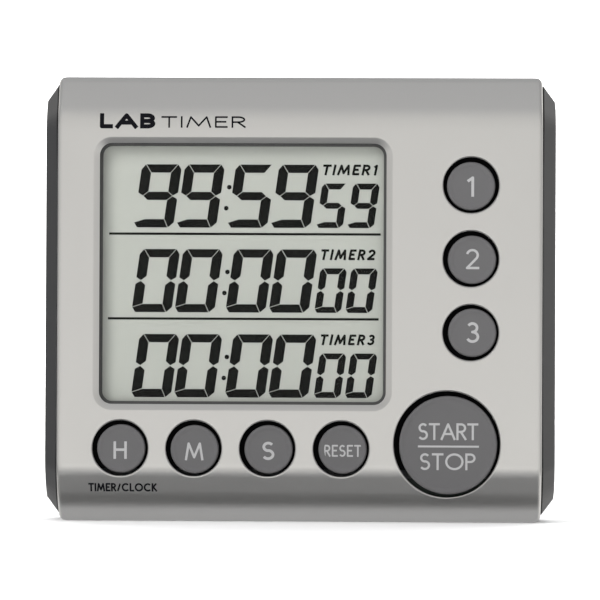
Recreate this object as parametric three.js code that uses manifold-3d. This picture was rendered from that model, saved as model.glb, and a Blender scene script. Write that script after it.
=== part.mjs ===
// Three-channel lab timer: a desk timer with a large liquid-crystal display, eight round keys, a
// TIMER/CLOCK slide switch underneath, a fold-out stand, two magnets and a battery cover at the back.
// Millimetres. +X is the timer's right as its user sees it, +Z is up, and the display faces -Y.
// The origin is the middle of the footprint, on the plane the timer stands on.
import * as THREE from 'three';
import { mergeVertices } from 'three/addons/utils/BufferGeometryUtils.js';
import Module from 'manifold-3d';

const wasm = await Module();
wasm.setup();

// ---------------------------------------------------------------- driving dimensions

const HEIGHT = 103.7;
const FRONT = -13;
const BACK = 13;
const PANEL_HALF = 56.3;
const WALL = 2;
const PARTING = -1;
const SEAM = 0.2;
const GAP = 0.1;
const CLEARANCE = 0.3;

// Side outline: where the front face bends, how steep each band is, and the fillet of each corner.
const UPPER_BEND = { z: 94.2, slope: 24, radius: 13.5 };
const LOWER_BEND = { z: 12, slope: 22, radius: 9 };
const CHIN_BEND = { z: 4.4, slope: 50, radius: 12.8 };
const TOP_FRONT_RADIUS = 2.5;
const CHIN_RADIUS = 1.5;
const TOP_BACK_RADIUS = 4;
const BOTTOM_BACK_RADIUS = 3;
const SMALLEST_RADIUS = 0.6;
const END_CURVE = { width: 1.3, depth: 0.8, power: 2.5 };
const END_CORNER = 1.7;
const ARC_STEPS = 5;

// Cheek rings as [distance out from the silver panel, inset from the side outline].
const CHEEK_RINGS = [[SEAM, 1.8], [3.05, 5.45], [3.3, 7.2], [3.4, 9.2]];
const CHEEK_HOLLOW = { inset: 6.5, out: 57.9 };
const SIDE_WALL_IN = 54.4;

// Tongue of the rear case that closes the seam from inside.
const LIP = { front: -3, back: 0.5, thickness: 1 };

// Thicker wall round the pockets in the back: how far each pad runs past its pocket, and its inner face.
const PAD_Y = { stand: 8.6, seat: 9.2, magnet: 9.4, buzzer: 8.4 };
const PAD_MARGIN = 1.6;
const PAD_BOTTOM = 1;

// Display, centred on (x, z).
const WINDOW = { x: -13.17, z: 57.75, width: 66.6, height: 60.6, radius: 2.9 };
const WINDOW_BEVEL = { width: 1.45, depth: 0.6 };
const TAPE_BORDER = 0.65;
const LENS = { width: 70, height: 64, radius: 2, front: -10.7, back: -9.5 };
const GLASS = { width: 71, height: 64, thickness: 1.1 };
const GLASS_LEDGE = 3;
const POLARISER = { front: -9.3, back: -9.1, width: 69, height: 61 };
const HOLDER = { wall: 1, margin: 0.1, front: -8.9, shelf: -6.5, shelfWidth: 4 };
const ZEBRA = { width: 1.8, length: 66 };

// Keys: caps sit a little below the face and travel inwards.
const CAP_FRONT = FRONT + 0.5;
const FLANGE_FRONT = FRONT + WALL + 0.2;
const FLANGE_THICKNESS = 0.8;
const FLANGE_TRIM_Z = 12.4;
const KEY_FIELD = { cap: 5.6, hole: 6.5, flange: 7.1, stem: 2.4, edge: 0.5, dome: 4.6 };
const START_FIELD = { cap: 11.4, hole: 12.5, flange: 13.6, stem: 3.5, edge: 0.6, dome: 6.6 };
const STEM_END = -7.2;
const ROW_Z = 17.2;
const ROW_LEFT = -41.47;
const COLUMN_X = 39.73;
const COLUMN_TOP = 78.5;
const PITCH = 17.1;
// Each key hangs loose in its hole: rest is how far its middle sits from the middle of the hole.
const KEYS = [
  { name: 'hour_button', x: ROW_LEFT, z: ROW_Z, rest: [0.25, -0.1], ...KEY_FIELD },
  { name: 'minute_button', x: ROW_LEFT + PITCH, z: ROW_Z, rest: [0.22, -0.2], ...KEY_FIELD },
  { name: 'second_button', x: ROW_LEFT + 2 * PITCH, z: ROW_Z, rest: [0.3, -0.15], ...KEY_FIELD },
  { name: 'reset_button', x: ROW_LEFT + 3 * PITCH, z: ROW_Z, rest: [0.38, -0.1], ...KEY_FIELD },
  { name: 'timer1_button', x: COLUMN_X, z: COLUMN_TOP, rest: [0, -0.22], ...KEY_FIELD },
  { name: 'timer2_button', x: COLUMN_X, z: COLUMN_TOP - PITCH, rest: [0.28, -0.2], ...KEY_FIELD },
  { name: 'timer3_button', x: COLUMN_X, z: COLUMN_TOP - 2 * PITCH, rest: [0.4, 0], ...KEY_FIELD },
  { name: 'start_stop_button', x: 34.33, z: 18.4, rest: [0.32, -0.15], ...START_FIELD },
];

// Circuit board and what stands on it.
const BOARD = { front: -4.2, back: -2.6, half: 51.5, bottom: 5, top: 97, notch: [5.2, 5.8] };
const MAT = { front: -5.3, left: -49.5, right: 48.5, bottom: 10.2, top: 24.2, column: 31.8, columnTop: 86 };
const DOME_TOP = -6.1;
const DOME_SIDES = 16;
const BOARD_POSTS = [[-45, 94.3], [27.4, 94.3], [-33.1, 7.6], [18.5, 7.6]];
const BOARD_POST = { radius: 2.2, pilot: 0.95, depth: 5.5 };
const BOARD_SCREW = { shank: 0.8, head: 1.9, headHeight: 1.1, length: 6 };

// Case screws, through the rear case into the front panel's posts.
const CASE_POSTS = [[-50, 96], [50, 96], [-50, 7], [50, 7]];
const CASE_POST = { front: 3, back: 4, pilot: 1.3, pilotDepth: 7.5, hole: 1.5, bore: 2.8, seat: 7.5 };
const CASE_SCREW = { shank: 1.1, head: 2.5, headHeight: 1.7, length: 14 };
const CROSS_SLOT = { long: 1.3, wide: 0.35, deep: 0.7 };

// Battery bay and cover. The cover tips out about its lower outer edge, on two tabs behind the case wall.
const BAY = { half: 25.2, bottom: 62.6, top: 85.4, floor: 0.3, wall: 1.2 };
const SEAT = { half: 30.2, bottom: 59, top: 89.5, depth: 1.6, radius: 2.2, margin: 0.3 };
const COVER_TABS = { x: 18, half: 2.5, bottom: 57.4, top: 60.6, back: 10.8, front: 9.6, swing: 8.9 };
const COVER_GRIPS = { half: 7, bottom: 80, pitch: 1.8, width: 0.8, depth: 0.5, count: 4 };
const BATTERY = { radius: 5.25, length: 43.6, nub: 1.9, nubLength: 0.9, y: 5.8, gap: 0.3 };
const CONTACT = { thickness: 0.3, inner: 24.8, width: 8.4, low: 1.2, high: 10.6 };
const TAIL = { positiveZ: 80, negativeZ: 68, length: 2.4, half: 0.7, low: 2.2, high: 2.8 };
const TAIL_SLOT = { half: 1, play: 0.3 };
const SPRING = { wire: 0.3, wide: 3.1, narrow: 1.9, turns: 3.5, steps: 42 };

// Fold-out stand and its pocket.
const STAND = { half: 23.8, bottom: 7, axisY: 11.3, axisZ: 53, front: 10.5, back: 12.8, pin: 1.05 };
const STAND_CORNER = 4;
const STAND_RELIEF = { z: 32, width: 28, height: 18, radius: 3 };
const STAND_GRIP = { out: 0.6, up: 4, radius: 1.1, half: 8 };
const STAND_POCKET = { half: 24.2, bottom: 6, top: 55.2, floor: 10.2, bore: 1.35, boreEnd: 25.9 };
const FINGER_SCOOP = { half: 9, bottom: 2.9 };

// Magnets, buzzer and slide switch.
const MAGNET = { x: 42, z: 80, radius: 6, front: 10.9, back: 12.95 };
const BUZZER = { x: 40, z: 38, radius: 10, ledge: 9.6, ring: 11.3, plate: 0.25 };
const CERAMIC = { radius: 7, thickness: 0.2 };
const SOUND_HOLE = { radius: 0.9, ring: 3.6, count: 6 };
const SWITCH = { x: -41.2, y: 5, travel: 2.4, padHalf: 8, padTop: 2.8 };
const SWITCH_POCKET = { half: 6.5, deep: 2.5, floor: 1.2, slotHalf: 4, slotDeep: 0.9 };
const SLIDER = { thumb: [2.4, 1.9], thumbZ: [0.25, 1.05], stem: [1.5, 0.7], carrier: [5, 2.4], fork: 0.95 };
const SLIDER_RIBS = { pitch: 1.6, half: 0.3, reach: 2, z: [0.1, 0.3] };
const LEVER = { y: -0.8, half: 0.75, top: 6.7 };
const SWITCH_BODY = { half: 4.3, back: 1, z: [5.2, 8.8], slotHalf: 2.4, slotDeep: 1, slotTop: 7 };

// Parts on the back of the board, and the insulated leads.
const CHIP = { x: -14, z: 46 };
const CRYSTAL = { z: 32, radius: 1, left: 4, right: 10 };
const CAPACITOR = { x: -40, z: 30, radius: 2.5, length: 5.5 };
const LEAD_RADIUS = 0.55;
const LEADS = {
  battery_lead_red: [[28.3, 2.5, 80], [31, 2, 78], [32, -0.5, 74], [32, -1.5, 73], [32, -2.45, 73]],
  battery_lead_black: [[28.3, 2.5, 68], [31, 2, 66.5], [32, -0.5, 63], [32, -1.5, 62], [32, -2.45, 62]],
  buzzer_lead_red: [[43, 8.4, 41], [42, 6, 48], [38, 1, 52], [37, -1.5, 52], [37, -2.45, 52]],
  buzzer_lead_black: [[37, 8.4, 44], [36, 6, 48], [34, 1, 51], [33, -1.5, 52], [33, -2.45, 52]],
};

// Colours, from the object's finish.
const COLOURS = {
  silver: [0xc7c6c1, 0.38, 0.6],
  charcoal: [0x47484a, 0.55, 0],
  key: [0x6d6d70, 0.5, 0],
  black: [0x141415, 0.7, 0],
  clear: [0xdfe6e6, 0.05, 0],
  lcd: [0xb9beb3, 0.3, 0],
  white: [0xdadbd6, 0.6, 0],
  rubber: [0x6a6c6e, 0.8, 0],
  board: [0x1f5a38, 0.45, 0],
  steel: [0xb9bcc0, 0.3, 1],
  brass: [0xc9a552, 0.35, 1],
  red: [0xb02a22, 0.5, 0],
};

// The larger key has the finer outline.
const keySides = (radius) => (radius > 10 ? 36 : 24);

// ---------------------------------------------------------------- solids from three.js geometry

// A closed geometry as a manifold-3d solid with its faces pointing out.
function solid(geometry) {
  const flat = geometry.index ? geometry.toNonIndexed() : geometry;
  const bare = new THREE.BufferGeometry();
  bare.setAttribute('position', flat.getAttribute('position').clone());
  const merged = mergeVertices(bare, 1e-4);
  const corners = merged.index.array;
  const kept = [];
  for (let i = 0; i < corners.length; i += 3) {
    const [a, b, c] = [corners[i], corners[i + 1], corners[i + 2]];
    if (a !== b && b !== c && a !== c) kept.push([a, b, c]);
  }
  const vertProperties = new Float32Array(merged.attributes.position.array);
  const build = (triangles) => new wasm.Manifold(
    new wasm.Mesh({ numProp: 3, vertProperties, triVerts: new Uint32Array(triangles.flat()) }));
  const made = build(kept);
  return made.volume() > 0 ? made : build(kept.map(([a, b, c]) => [a, c, b]));
}

function geometryOf(body) {
  const { vertProperties, triVerts } = body.getMesh();
  const geometry = new THREE.BufferGeometry();
  geometry.setAttribute('position', new THREE.BufferAttribute(new Float32Array(vertProperties), 3));
  geometry.setIndex(new THREE.BufferAttribute(new Uint32Array(triVerts), 1));
  geometry.computeVertexNormals();
  return geometry;
}

const join = (...bodies) => bodies.flat().reduce((sum, body) => sum.add(body));
const cut = (body, ...tools) => tools.flat().reduce((left, tool) => left.subtract(tool), body);

// The extent on each side of a middle.
const about = (middle, half) => [middle - half, middle + half];

// A box from its extents along each axis.
function box([x0, x1], [y0, y1], [z0, z1]) {
  const geometry = new THREE.BoxGeometry(x1 - x0, y1 - y0, z1 - z0);
  return solid(geometry.translate((x0 + x1) / 2, (y0 + y1) / 2, (z0 + z1) / 2));
}

// A cylinder along Y, centred on (x, z).
function rodY(x, z, radius, y0, y1, sides = 24) {
  const geometry = new THREE.CylinderGeometry(radius, radius, y1 - y0, sides);
  return solid(geometry.translate(x, (y0 + y1) / 2, z));
}

// A cylinder along X, centred on (y, z).
function rodX(y, z, radius, x0, x1, sides = 24) {
  const geometry = new THREE.CylinderGeometry(radius, radius, x1 - x0, sides);
  return solid(geometry.rotateZ(Math.PI / 2).translate((x0 + x1) / 2, y, z));
}

// A body turned about the Y direction through (x, z), from [radius, y] points that start and end on the axis.
function turned(x, z, profile, sides = 32) {
  const points = profile.map(([r, y]) => new THREE.Vector2(r, y));
  return solid(new THREE.LatheGeometry(points, sides).translate(x, 0, z));
}

// A convex outline drawn on (x, z) and extruded along Y.
function plate(outline, y0, y1) {
  const options = { depth: y1 - y0, bevelEnabled: false };
  const geometry = new THREE.ExtrudeGeometry(new THREE.Shape(outline), options);
  return solid(geometry.rotateX(Math.PI / 2).translate(0, y1, 0));
}

// A round wire along a curve.
function wire(curve, radius, steps, sides = 8) {
  const section = new THREE.Shape();
  section.absarc(0, 0, radius, 0, 2 * Math.PI);
  const options = { extrudePath: curve, steps, bevelEnabled: false, curveSegments: sides };
  return solid(new THREE.ExtrudeGeometry(section, options));
}

// ---------------------------------------------------------------- outlines

// A rounded rectangle centred on (x, z), with the same number of points at any size.
function roundedRectangle(x, z, width, height, radius, arcSteps = 6) {
  const corners = [[1, 1, 0], [-1, 1, 90], [-1, -1, 180], [1, -1, 270]];
  return corners.flatMap(([sx, sz, start]) => {
    const cx = x + sx * (width / 2 - radius);
    const cz = z + sz * (height / 2 - radius);
    return Array.from({ length: arcSteps + 1 }, (_, i) => {
      const angle = THREE.MathUtils.degToRad(start + (90 * i) / arcSteps);
      return new THREE.Vector2(cx + radius * Math.cos(angle), cz + radius * Math.sin(angle));
    });
  });
}

// The corners of the timer's side outline as {y, z, radius}, anticlockwise seen with +Y to the right.
function sideCorners() {
  const run = (height, degrees) => height * Math.tan(THREE.MathUtils.degToRad(degrees));
  const lowerY = FRONT + run(LOWER_BEND.z - CHIN_BEND.z, LOWER_BEND.slope);
  const upperY = FRONT + run(HEIGHT - UPPER_BEND.z, UPPER_BEND.slope);
  return [
    { y: lowerY + run(CHIN_BEND.z, CHIN_BEND.slope), z: 0, radius: CHIN_RADIUS },
    { y: BACK, z: 0, radius: BOTTOM_BACK_RADIUS },
    { y: BACK, z: HEIGHT, radius: TOP_BACK_RADIUS },
    { y: upperY, z: HEIGHT, radius: TOP_FRONT_RADIUS },
    { y: FRONT, z: UPPER_BEND.z, radius: UPPER_BEND.radius },
    { y: FRONT, z: LOWER_BEND.z, radius: LOWER_BEND.radius },
    { y: lowerY, z: CHIN_BEND.z, radius: CHIN_BEND.radius },
  ];
}

// The side outline moved inwards, with its corners rounded: points on (y, z), the same number at any inset.
function sideOutline(inset, arcSteps = ARC_STEPS) {
  const corners = sideCorners().map(({ y, z }) => new THREE.Vector2(y, z));
  const count = corners.length;
  const edges = corners.map((from, i) => {
    const along = corners[(i + 1) % count].clone().sub(from).normalize();
    const inwards = new THREE.Vector2(-along.y, along.x);
    return { from: from.clone().addScaledVector(inwards, inset), along };
  });
  const points = [];
  sideCorners().forEach(({ radius }, i) => {
    const before = edges[(i + count - 1) % count];
    const after = edges[i];
    const turn = before.along.cross(after.along);
    const reach = after.from.clone().sub(before.from).cross(after.along) / turn;
    const corner = before.from.clone().addScaledVector(before.along, reach);
    const fillet = Math.max(radius - inset, SMALLEST_RADIUS);
    const angle = Math.acos(THREE.MathUtils.clamp(before.along.dot(after.along), -1, 1));
    const start = corner.clone().addScaledVector(before.along, -fillet * Math.tan(angle / 2));
    const inwards = new THREE.Vector2(-before.along.y, before.along.x);
    const centre = start.clone().addScaledVector(inwards, fillet);
    for (let k = 0; k <= arcSteps; k += 1) {
      points.push(start.clone().rotateAround(centre, (angle * k) / arcSteps));
    }
  });
  return points;
}

// A closed body through rings of points that all have the same count; each ring is flat and convex.
function loft(rings) {
  const count = rings[0].length;
  const positions = [];
  const corner = (ring, i) => positions.push(...rings[ring][i % count].toArray());
  for (let ring = 0; ring + 1 < rings.length; ring += 1) {
    for (let i = 0; i < count; i += 1) {
      [[ring, i], [ring, i + 1], [ring + 1, i + 1], [ring, i], [ring + 1, i + 1], [ring + 1, i]]
        .forEach(([r, k]) => corner(r, k));
    }
  }
  const last = rings.length - 1;
  for (let i = 1; i + 1 < count; i += 1) {
    [[0, 0], [0, i + 1], [0, i], [last, 0], [last, i], [last, i + 1]].forEach(([r, k]) => corner(r, k));
  }
  const geometry = new THREE.BufferGeometry();
  geometry.setAttribute('position', new THREE.Float32BufferAttribute(positions, 3));
  return solid(geometry);
}

// Side outlines stacked along X, from [x, inset] pairs.
function sideLoft(stations) {
  return loft(stations.map(([x, inset]) => sideOutline(inset).map((p) => new THREE.Vector3(x, p.x, p.y))));
}

// Rounded rectangles stacked along Y, from [y, growth] pairs added to the window opening.
function windowLoft(stations) {
  return loft(stations.map(([y, grow]) => {
    const { x, z, width, height, radius } = WINDOW;
    return roundedRectangle(x, z, width + 2 * grow, height + 2 * grow, radius + grow)
      .map((p) => new THREE.Vector3(p.x, y, p.y));
  }));
}

// The body of the timer between its cheeks, with softly rounded ends, and corners rounded as seen from the
// front.
function roundedBody() {
  const { width, depth, power } = END_CURVE;
  const steps = [0, 0.4, 0.7, 0.9, 1].map((share) => (
    [PANEL_HALF - width * (1 - share), depth * (1 - (1 - share ** power) ** (1 / power))]));
  const left = steps.map(([x, inset]) => [-x, inset]).reverse();
  const corners = roundedRectangle(0, HEIGHT / 2, 2 * PANEL_HALF, HEIGHT, END_CORNER, 4);
  return sideLoft([...left, ...steps]).intersect(plate(corners, FRONT - 1, BACK + 1));
}

const cavity = (half = PANEL_HALF + 1, inset = WALL) => sideLoft([[-half, inset], [half, inset]]);
const FAR = 150;
const inFront = (y) => box(about(0, FAR), [-FAR, y], about(0, FAR));
const behind = (y) => box(about(0, FAR), [y, FAR], about(0, FAR));

// ---------------------------------------------------------------- housing

function frontPanel() {
  const posts = [
    ...BOARD_POSTS.map(([x, z]) => rodY(x, z, BOARD_POST.radius, FRONT, BOARD.front - GAP, 16)),
    ...CASE_POSTS.map(([x, z]) => rodY(x, z, CASE_POST.front, FRONT, PARTING - GAP, 20)),
  ];
  const inside = sideLoft([[-PANEL_HALF + 2, WALL / 2], [PANEL_HALF - 2, WALL / 2]]);
  const shell = cut(roundedBody().intersect(inFront(PARTING)), cavity());
  const holes = KEYS.map(({ x, z, hole }) => rodY(x, z, hole, FRONT - 2, FRONT + 5, keySides(hole)));
  const bevel = windowLoft([
    [FRONT - WINDOW_BEVEL.depth, WINDOW_BEVEL.width * 2],
    [FRONT + WINDOW_BEVEL.depth, 0],
    [FRONT + WALL + 1, 0],
  ]);
  const pilots = [
    ...BOARD_POSTS.map(([x, z]) => rodY(x, z, BOARD_POST.pilot, BOARD.front - BOARD_POST.depth, 0, 10)),
    ...CASE_POSTS.map(([x, z]) => rodY(x, z, CASE_POST.pilot, PARTING - CASE_POST.pilotDepth, 1, 10)),
  ];
  return cut(join(shell, join(posts).intersect(inside)), holes, bevel, pilots);
}

// One cheek: the bulging end of the rear case, hollow inside. side is -1 or 1.
function cheek(side) {
  const rings = CHEEK_RINGS.map(([out, inset]) => [side * (PANEL_HALF + out), inset]);
  const span = (from, to, inset) => sideLoft([[side * from, inset], [side * to, inset]]);
  const wall = span(SIDE_WALL_IN, PANEL_HALF + 0.5, WALL + CLEARANCE);
  const hollow = span(SIDE_WALL_IN - 1, CHEEK_HOLLOW.out, CHEEK_HOLLOW.inset);
  return cut(join(sideLoft(rings), wall), hollow);
}

// The tongue behind the seam, above and below, left open where the slide switch passes.
function seamLip() {
  const inset = WALL + CLEARANCE;
  const loop = cut(
    sideLoft([[-SIDE_WALL_IN - 0.5, inset], [SIDE_WALL_IN + 0.5, inset]]),
    cavity(SIDE_WALL_IN + 1, inset + LIP.thickness));
  const opening = box(
    about(SWITCH.x, SWITCH.padHalf), [LIP.front - 1, LIP.back + 1], [PAD_BOTTOM, BOARD.bottom]);
  return cut(loop.intersect(inFront(LIP.back)).intersect(behind(LIP.front)), opening);
}

// Material added inside the rear case: bosses, the battery tub and thicker pads under each pocket.
function rearPads() {
  const skin = BACK - WALL / 2;
  const seatLow = STAND_POCKET.top + 1;
  const tub = { half: BAY.half + BAY.wall, low: BAY.bottom - BAY.wall, high: BAY.top + BAY.wall };
  return [
    ...CASE_POSTS.map(([x, z]) => rodY(x, z, CASE_POST.back, PARTING + GAP, skin, 24)),
    box(about(0, STAND_POCKET.boreEnd + 1.1), [PAD_Y.stand, skin],
      [PAD_BOTTOM, STAND_POCKET.top + PAD_MARGIN]),
    box(about(0, tub.half), [BAY.floor - BAY.wall, skin], [tub.low, tub.high]),
    box(about(0, SEAT.half + PAD_MARGIN), [PAD_Y.seat, skin], [seatLow, SEAT.top + 1.4]),
    box(about(0, COVER_TABS.x + COVER_TABS.half + PAD_MARGIN), [COVER_TABS.swing - BAY.wall, skin],
      [seatLow, BAY.bottom]),
    ...[-1, 1].map((side) => rodY(
      side * MAGNET.x, MAGNET.z, MAGNET.radius + PAD_MARGIN, PAD_Y.magnet, skin, 32)),
    rodY(BUZZER.x, BUZZER.z, BUZZER.ring, PAD_Y.buzzer, skin, 36),
    box(about(SWITCH.x, SWITCH.padHalf), about(SWITCH.y, 3.5), [PAD_BOTTOM, SWITCH.padTop]),
  ];
}

// The battery bay with its tail slots, the seat of the cover, and the pockets its tabs swing in.
function bayCuts() {
  const seatZ = (SEAT.bottom + SEAT.top) / 2;
  const seat = roundedRectangle(0, seatZ, 2 * SEAT.half, SEAT.top - SEAT.bottom, SEAT.radius);
  const slot = (z) => box([BAY.half - 1, BAY.half + 3],
    [TAIL.low - TAIL_SLOT.play, TAIL.high + TAIL_SLOT.play], about(z, TAIL_SLOT.half));
  return [
    box(about(0, BAY.half), [BAY.floor, BACK + 1], [BAY.bottom, BAY.top]),
    plate(seat, BACK - SEAT.depth, BACK + 1),
    ...[-1, 1].flatMap((side) => {
      const x = about(side * COVER_TABS.x, COVER_TABS.half + 0.4);
      return [
        box(x, [COVER_TABS.swing, BACK - WALL], [COVER_TABS.bottom - 0.5, BAY.bottom + 0.1]),
        box(x, [COVER_TABS.swing, BACK], [SEAT.bottom, BAY.bottom + 0.1]),
      ];
    }),
    slot(TAIL.positiveZ),
    slot(TAIL.negativeZ),
  ];
}

// The pocket the stand folds into, with the bore its pins turn in and a scoop for a finger.
function standCuts() {
  const { half, floor, bottom, top, bore, boreEnd } = STAND_POCKET;
  return [
    box(about(0, half), [floor, BACK + 1], [bottom, top]),
    box(about(0, FINGER_SCOOP.half), [floor, BACK + 1], [FINGER_SCOOP.bottom, STAND.bottom]),
    rodX(STAND.axisY, STAND.axisZ, bore, -boreEnd, boreEnd, 16),
  ];
}

// The buzzer's seat, its cavity and its sound holes.
function buzzerCuts() {
  const { x, z, radius, ledge } = BUZZER;
  const front = PAD_Y.buzzer - 0.4;
  const hole = (atX, atZ) => rodY(atX, atZ, SOUND_HOLE.radius, front, BACK + 1, 12);
  const round = Array.from({ length: SOUND_HOLE.count }, (_, i) => (2 * Math.PI * i) / SOUND_HOLE.count);
  return [
    rodY(x, z, radius + CLEARANCE, front, ledge, 36),
    rodY(x, z, radius - 1.2, front, BACK - WALL, 36),
    hole(x, z),
    ...round.map((a) => hole(x + SOUND_HOLE.ring * Math.cos(a), z + SOUND_HOLE.ring * Math.sin(a))),
  ];
}

// Everything cut out of the rear case.
function rearCuts() {
  const { half, deep, floor, slotHalf, slotDeep } = SWITCH_POCKET;
  return [
    ...CASE_POSTS.map(([x, z]) => rodY(x, z, CASE_POST.hole, PARTING - 1, BACK, 12)),
    ...CASE_POSTS.map(([x, z]) => rodY(x, z, CASE_POST.bore, CASE_POST.seat, BACK + 1, 20)),
    ...standCuts(),
    ...bayCuts(),
    ...[-1, 1].map((side) => rodY(
      side * MAGNET.x, MAGNET.z, MAGNET.radius + 0.15, MAGNET.front - GAP, BACK + 1, 32)),
    ...buzzerCuts(),
    box(about(SWITCH.x, half), about(SWITCH.y, deep), [-1, floor]),
    box(about(SWITCH.x, slotHalf), about(SWITCH.y, slotDeep), [0, SWITCH.padTop + 1]),
  ];
}

function rearCase() {
  const shell = cut(roundedBody().intersect(behind(PARTING + SEAM)), cavity(SIDE_WALL_IN));
  const ends = [-1, 1].map((side) => cheek(side));
  return cut(join(shell, ends, seamLip(), join(rearPads())), rearCuts());
}

// ---------------------------------------------------------------- display

const windowPlate = (width, height, radius, y0, y1) => plate(
  roundedRectangle(WINDOW.x, WINDOW.z, width, height, radius), y0, y1);

function windowTape() {
  const back = LENS.front - 0.02;
  const outer = windowPlate(LENS.width, LENS.height, LENS.radius, FRONT + WALL + 0.05, back);
  const inner = windowLoft([[FRONT, -TAPE_BORDER], [back + 1, -TAPE_BORDER]]);
  return cut(outer, inner);
}

const displayWindow = () => windowPlate(LENS.width, LENS.height, LENS.radius, LENS.front, LENS.back);

// A rectangular plate centred on the window.
function sheet(width, height, y0, y1) {
  return box(about(WINDOW.x, width / 2), [y0, y1], about(WINDOW.z, height / 2));
}

const FRONT_GLASS_Y = POLARISER.back + 0.05;
const REAR_GLASS_Y = FRONT_GLASS_Y + GLASS.thickness + 0.05;
const rearGlassHeight = GLASS.height - 2 * GLASS_LEDGE;
const glass = (height, front) => sheet(GLASS.width, height, front, front + GLASS.thickness);
const reflector = () => sheet(GLASS.width - 1, rearGlassHeight - 1, HOLDER.shelf - 0.25, HOLDER.shelf - 0.05);

function lcdHolder() {
  const inner = { width: GLASS.width + 2 * HOLDER.margin, height: GLASS.height + 2 * HOLDER.margin };
  const frame = cut(
    sheet(inner.width + 2 * HOLDER.wall, inner.height + 2 * HOLDER.wall, HOLDER.front, BOARD.front - GAP),
    sheet(inner.width, inner.height, HOLDER.front - 1, BOARD.front + 1));
  const shelf = cut(
    sheet(inner.width + 1, rearGlassHeight, HOLDER.shelf, BOARD.front - GAP),
    sheet(inner.width - 2 * HOLDER.shelfWidth, rearGlassHeight - 2 * HOLDER.shelfWidth, HOLDER.front, 0));
  return join(frame, shelf);
}

// A zebra strip between the front glass's ledge and the board. side is -1 below and 1 above.
function zebraStrip(side) {
  const z = WINDOW.z + side * (GLASS.height - GLASS_LEDGE) / 2;
  return box(about(WINDOW.x, ZEBRA.length / 2),
    [FRONT_GLASS_Y + GLASS.thickness + 0.05, BOARD.front - 0.05], about(z, ZEBRA.width / 2));
}

// ---------------------------------------------------------------- keys and board

// A key cap with a retaining flange behind the panel and a stem that meets the rubber dome.
function keyButton({ x: holeX, z: holeZ, rest, cap, flange, stem, edge }) {
  const [x, z] = [holeX + rest[0], holeZ + rest[1]];
  const flangeBack = FLANGE_FRONT + FLANGE_THICKNESS;
  const body = turned(x, z, [
    [0, CAP_FRONT], [cap - edge, CAP_FRONT], [cap - edge * 0.3, CAP_FRONT + edge * 0.3],
    [cap, CAP_FRONT + edge], [cap, FLANGE_FRONT], [flange, FLANGE_FRONT], [flange, flangeBack],
    [stem, flangeBack], [stem, STEM_END], [0, STEM_END],
  ], keySides(cap));
  const trim = cut(box(about(x, 2 * cap), [FLANGE_FRONT - 0.01, flangeBack], [z - 2 * cap, FLANGE_TRIM_Z]),
    rodY(x, z, cap, -FAR, 0, keySides(cap)));
  return cut(body, trim);
}

// One silicone sheet on the board, with a hollow dome and a carbon pill under each key.
function keypadMat() {
  const back = BOARD.front - 0.05;
  const sheetBody = join(
    box([MAT.left, MAT.right], [MAT.front, back], [MAT.bottom, MAT.top]),
    box([MAT.column, MAT.right], [MAT.front, back], [MAT.bottom, MAT.columnTop]));
  const domes = KEYS.map(({ x, z, dome, stem }) => turned(x, z, [
    [0, DOME_TOP], [stem + 0.5, DOME_TOP], [stem + 0.8, DOME_TOP + 0.3], [dome, MAT.front],
    [dome, back - 0.2], [0, back - 0.2]], DOME_SIDES));
  const hollows = KEYS.map(({ x, z, dome, stem }) => turned(x, z, [
    [0, back + 1], [dome - 0.7, back + 1], [dome - 0.7, MAT.front + 0.2], [stem, DOME_TOP + 0.6],
    [0, DOME_TOP + 0.6]], DOME_SIDES));
  const pills = KEYS.map(({ x, z, stem }) => rodY(x, z, stem * 0.75, DOME_TOP + 0.3, MAT.front + 0.3, 12));
  return join(cut(join(sheetBody, domes), hollows), pills);
}

function circuitBoard() {
  const [notchX, notchZ] = BOARD.notch;
  const through = [BOARD.front - 1, BOARD.back + 1];
  const notches = [-1, 1].flatMap((side) => [
    box(about(side * BOARD.half, notchX), through, [BOARD.bottom - 1, BOARD.bottom + notchZ]),
    box(about(side * BOARD.half, notchX), through, [BOARD.top - notchZ + 1, BOARD.top + 1]),
  ]);
  const holes = BOARD_POSTS.map(([x, z]) => rodY(x, z, BOARD_SCREW.shank + CLEARANCE, ...through, 12));
  return cut(box(about(0, BOARD.half), [BOARD.front, BOARD.back], [BOARD.bottom, BOARD.top]), notches, holes);
}

const cobChip = () => turned(CHIP.x, CHIP.z, [
  [0, BOARD.back + 0.03], [8, BOARD.back + 0.03], [7.4, BOARD.back + 0.5], [5.6, BOARD.back + 0.9],
  [3, BOARD.back + 1.15], [0, BOARD.back + 1.25]], 28);

const crystal = () => rodX(
  BOARD.back + GAP + CRYSTAL.radius, CRYSTAL.z, CRYSTAL.radius, CRYSTAL.left, CRYSTAL.right, 16);
const capacitor = () => rodY(CAPACITOR.x, CAPACITOR.z, CAPACITOR.radius,
  BOARD.back + 0.05, BOARD.back + CAPACITOR.length, 24);

// A pan-head screw along Y at (x, z), head towards +Y, its head resting on y.
function screw(x, z, y, { shank, head, headHeight, length }) {
  const body = turned(x, z, [
    [0, y - length], [shank * 0.4, y - length], [shank, y - length + 1], [shank, y], [head, y],
    [head, y + headHeight * 0.6], [head * 0.75, y + headHeight], [0, y + headHeight]], 16);
  const top = [y + headHeight - CROSS_SLOT.deep, y + headHeight + 1];
  const size = head / CASE_SCREW.head;
  const arm = (long, wide) => box(about(x, long * size), top, about(z, wide * size));
  return cut(body, arm(CROSS_SLOT.long, CROSS_SLOT.wide), arm(CROSS_SLOT.wide, CROSS_SLOT.long));
}

// ---------------------------------------------------------------- slide switch

const SLIDER_X = SWITCH.x - SWITCH.travel / 2;
const PLATE_Z = [SWITCH.padTop + 0.15, SWITCH.padTop + 1];

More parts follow.
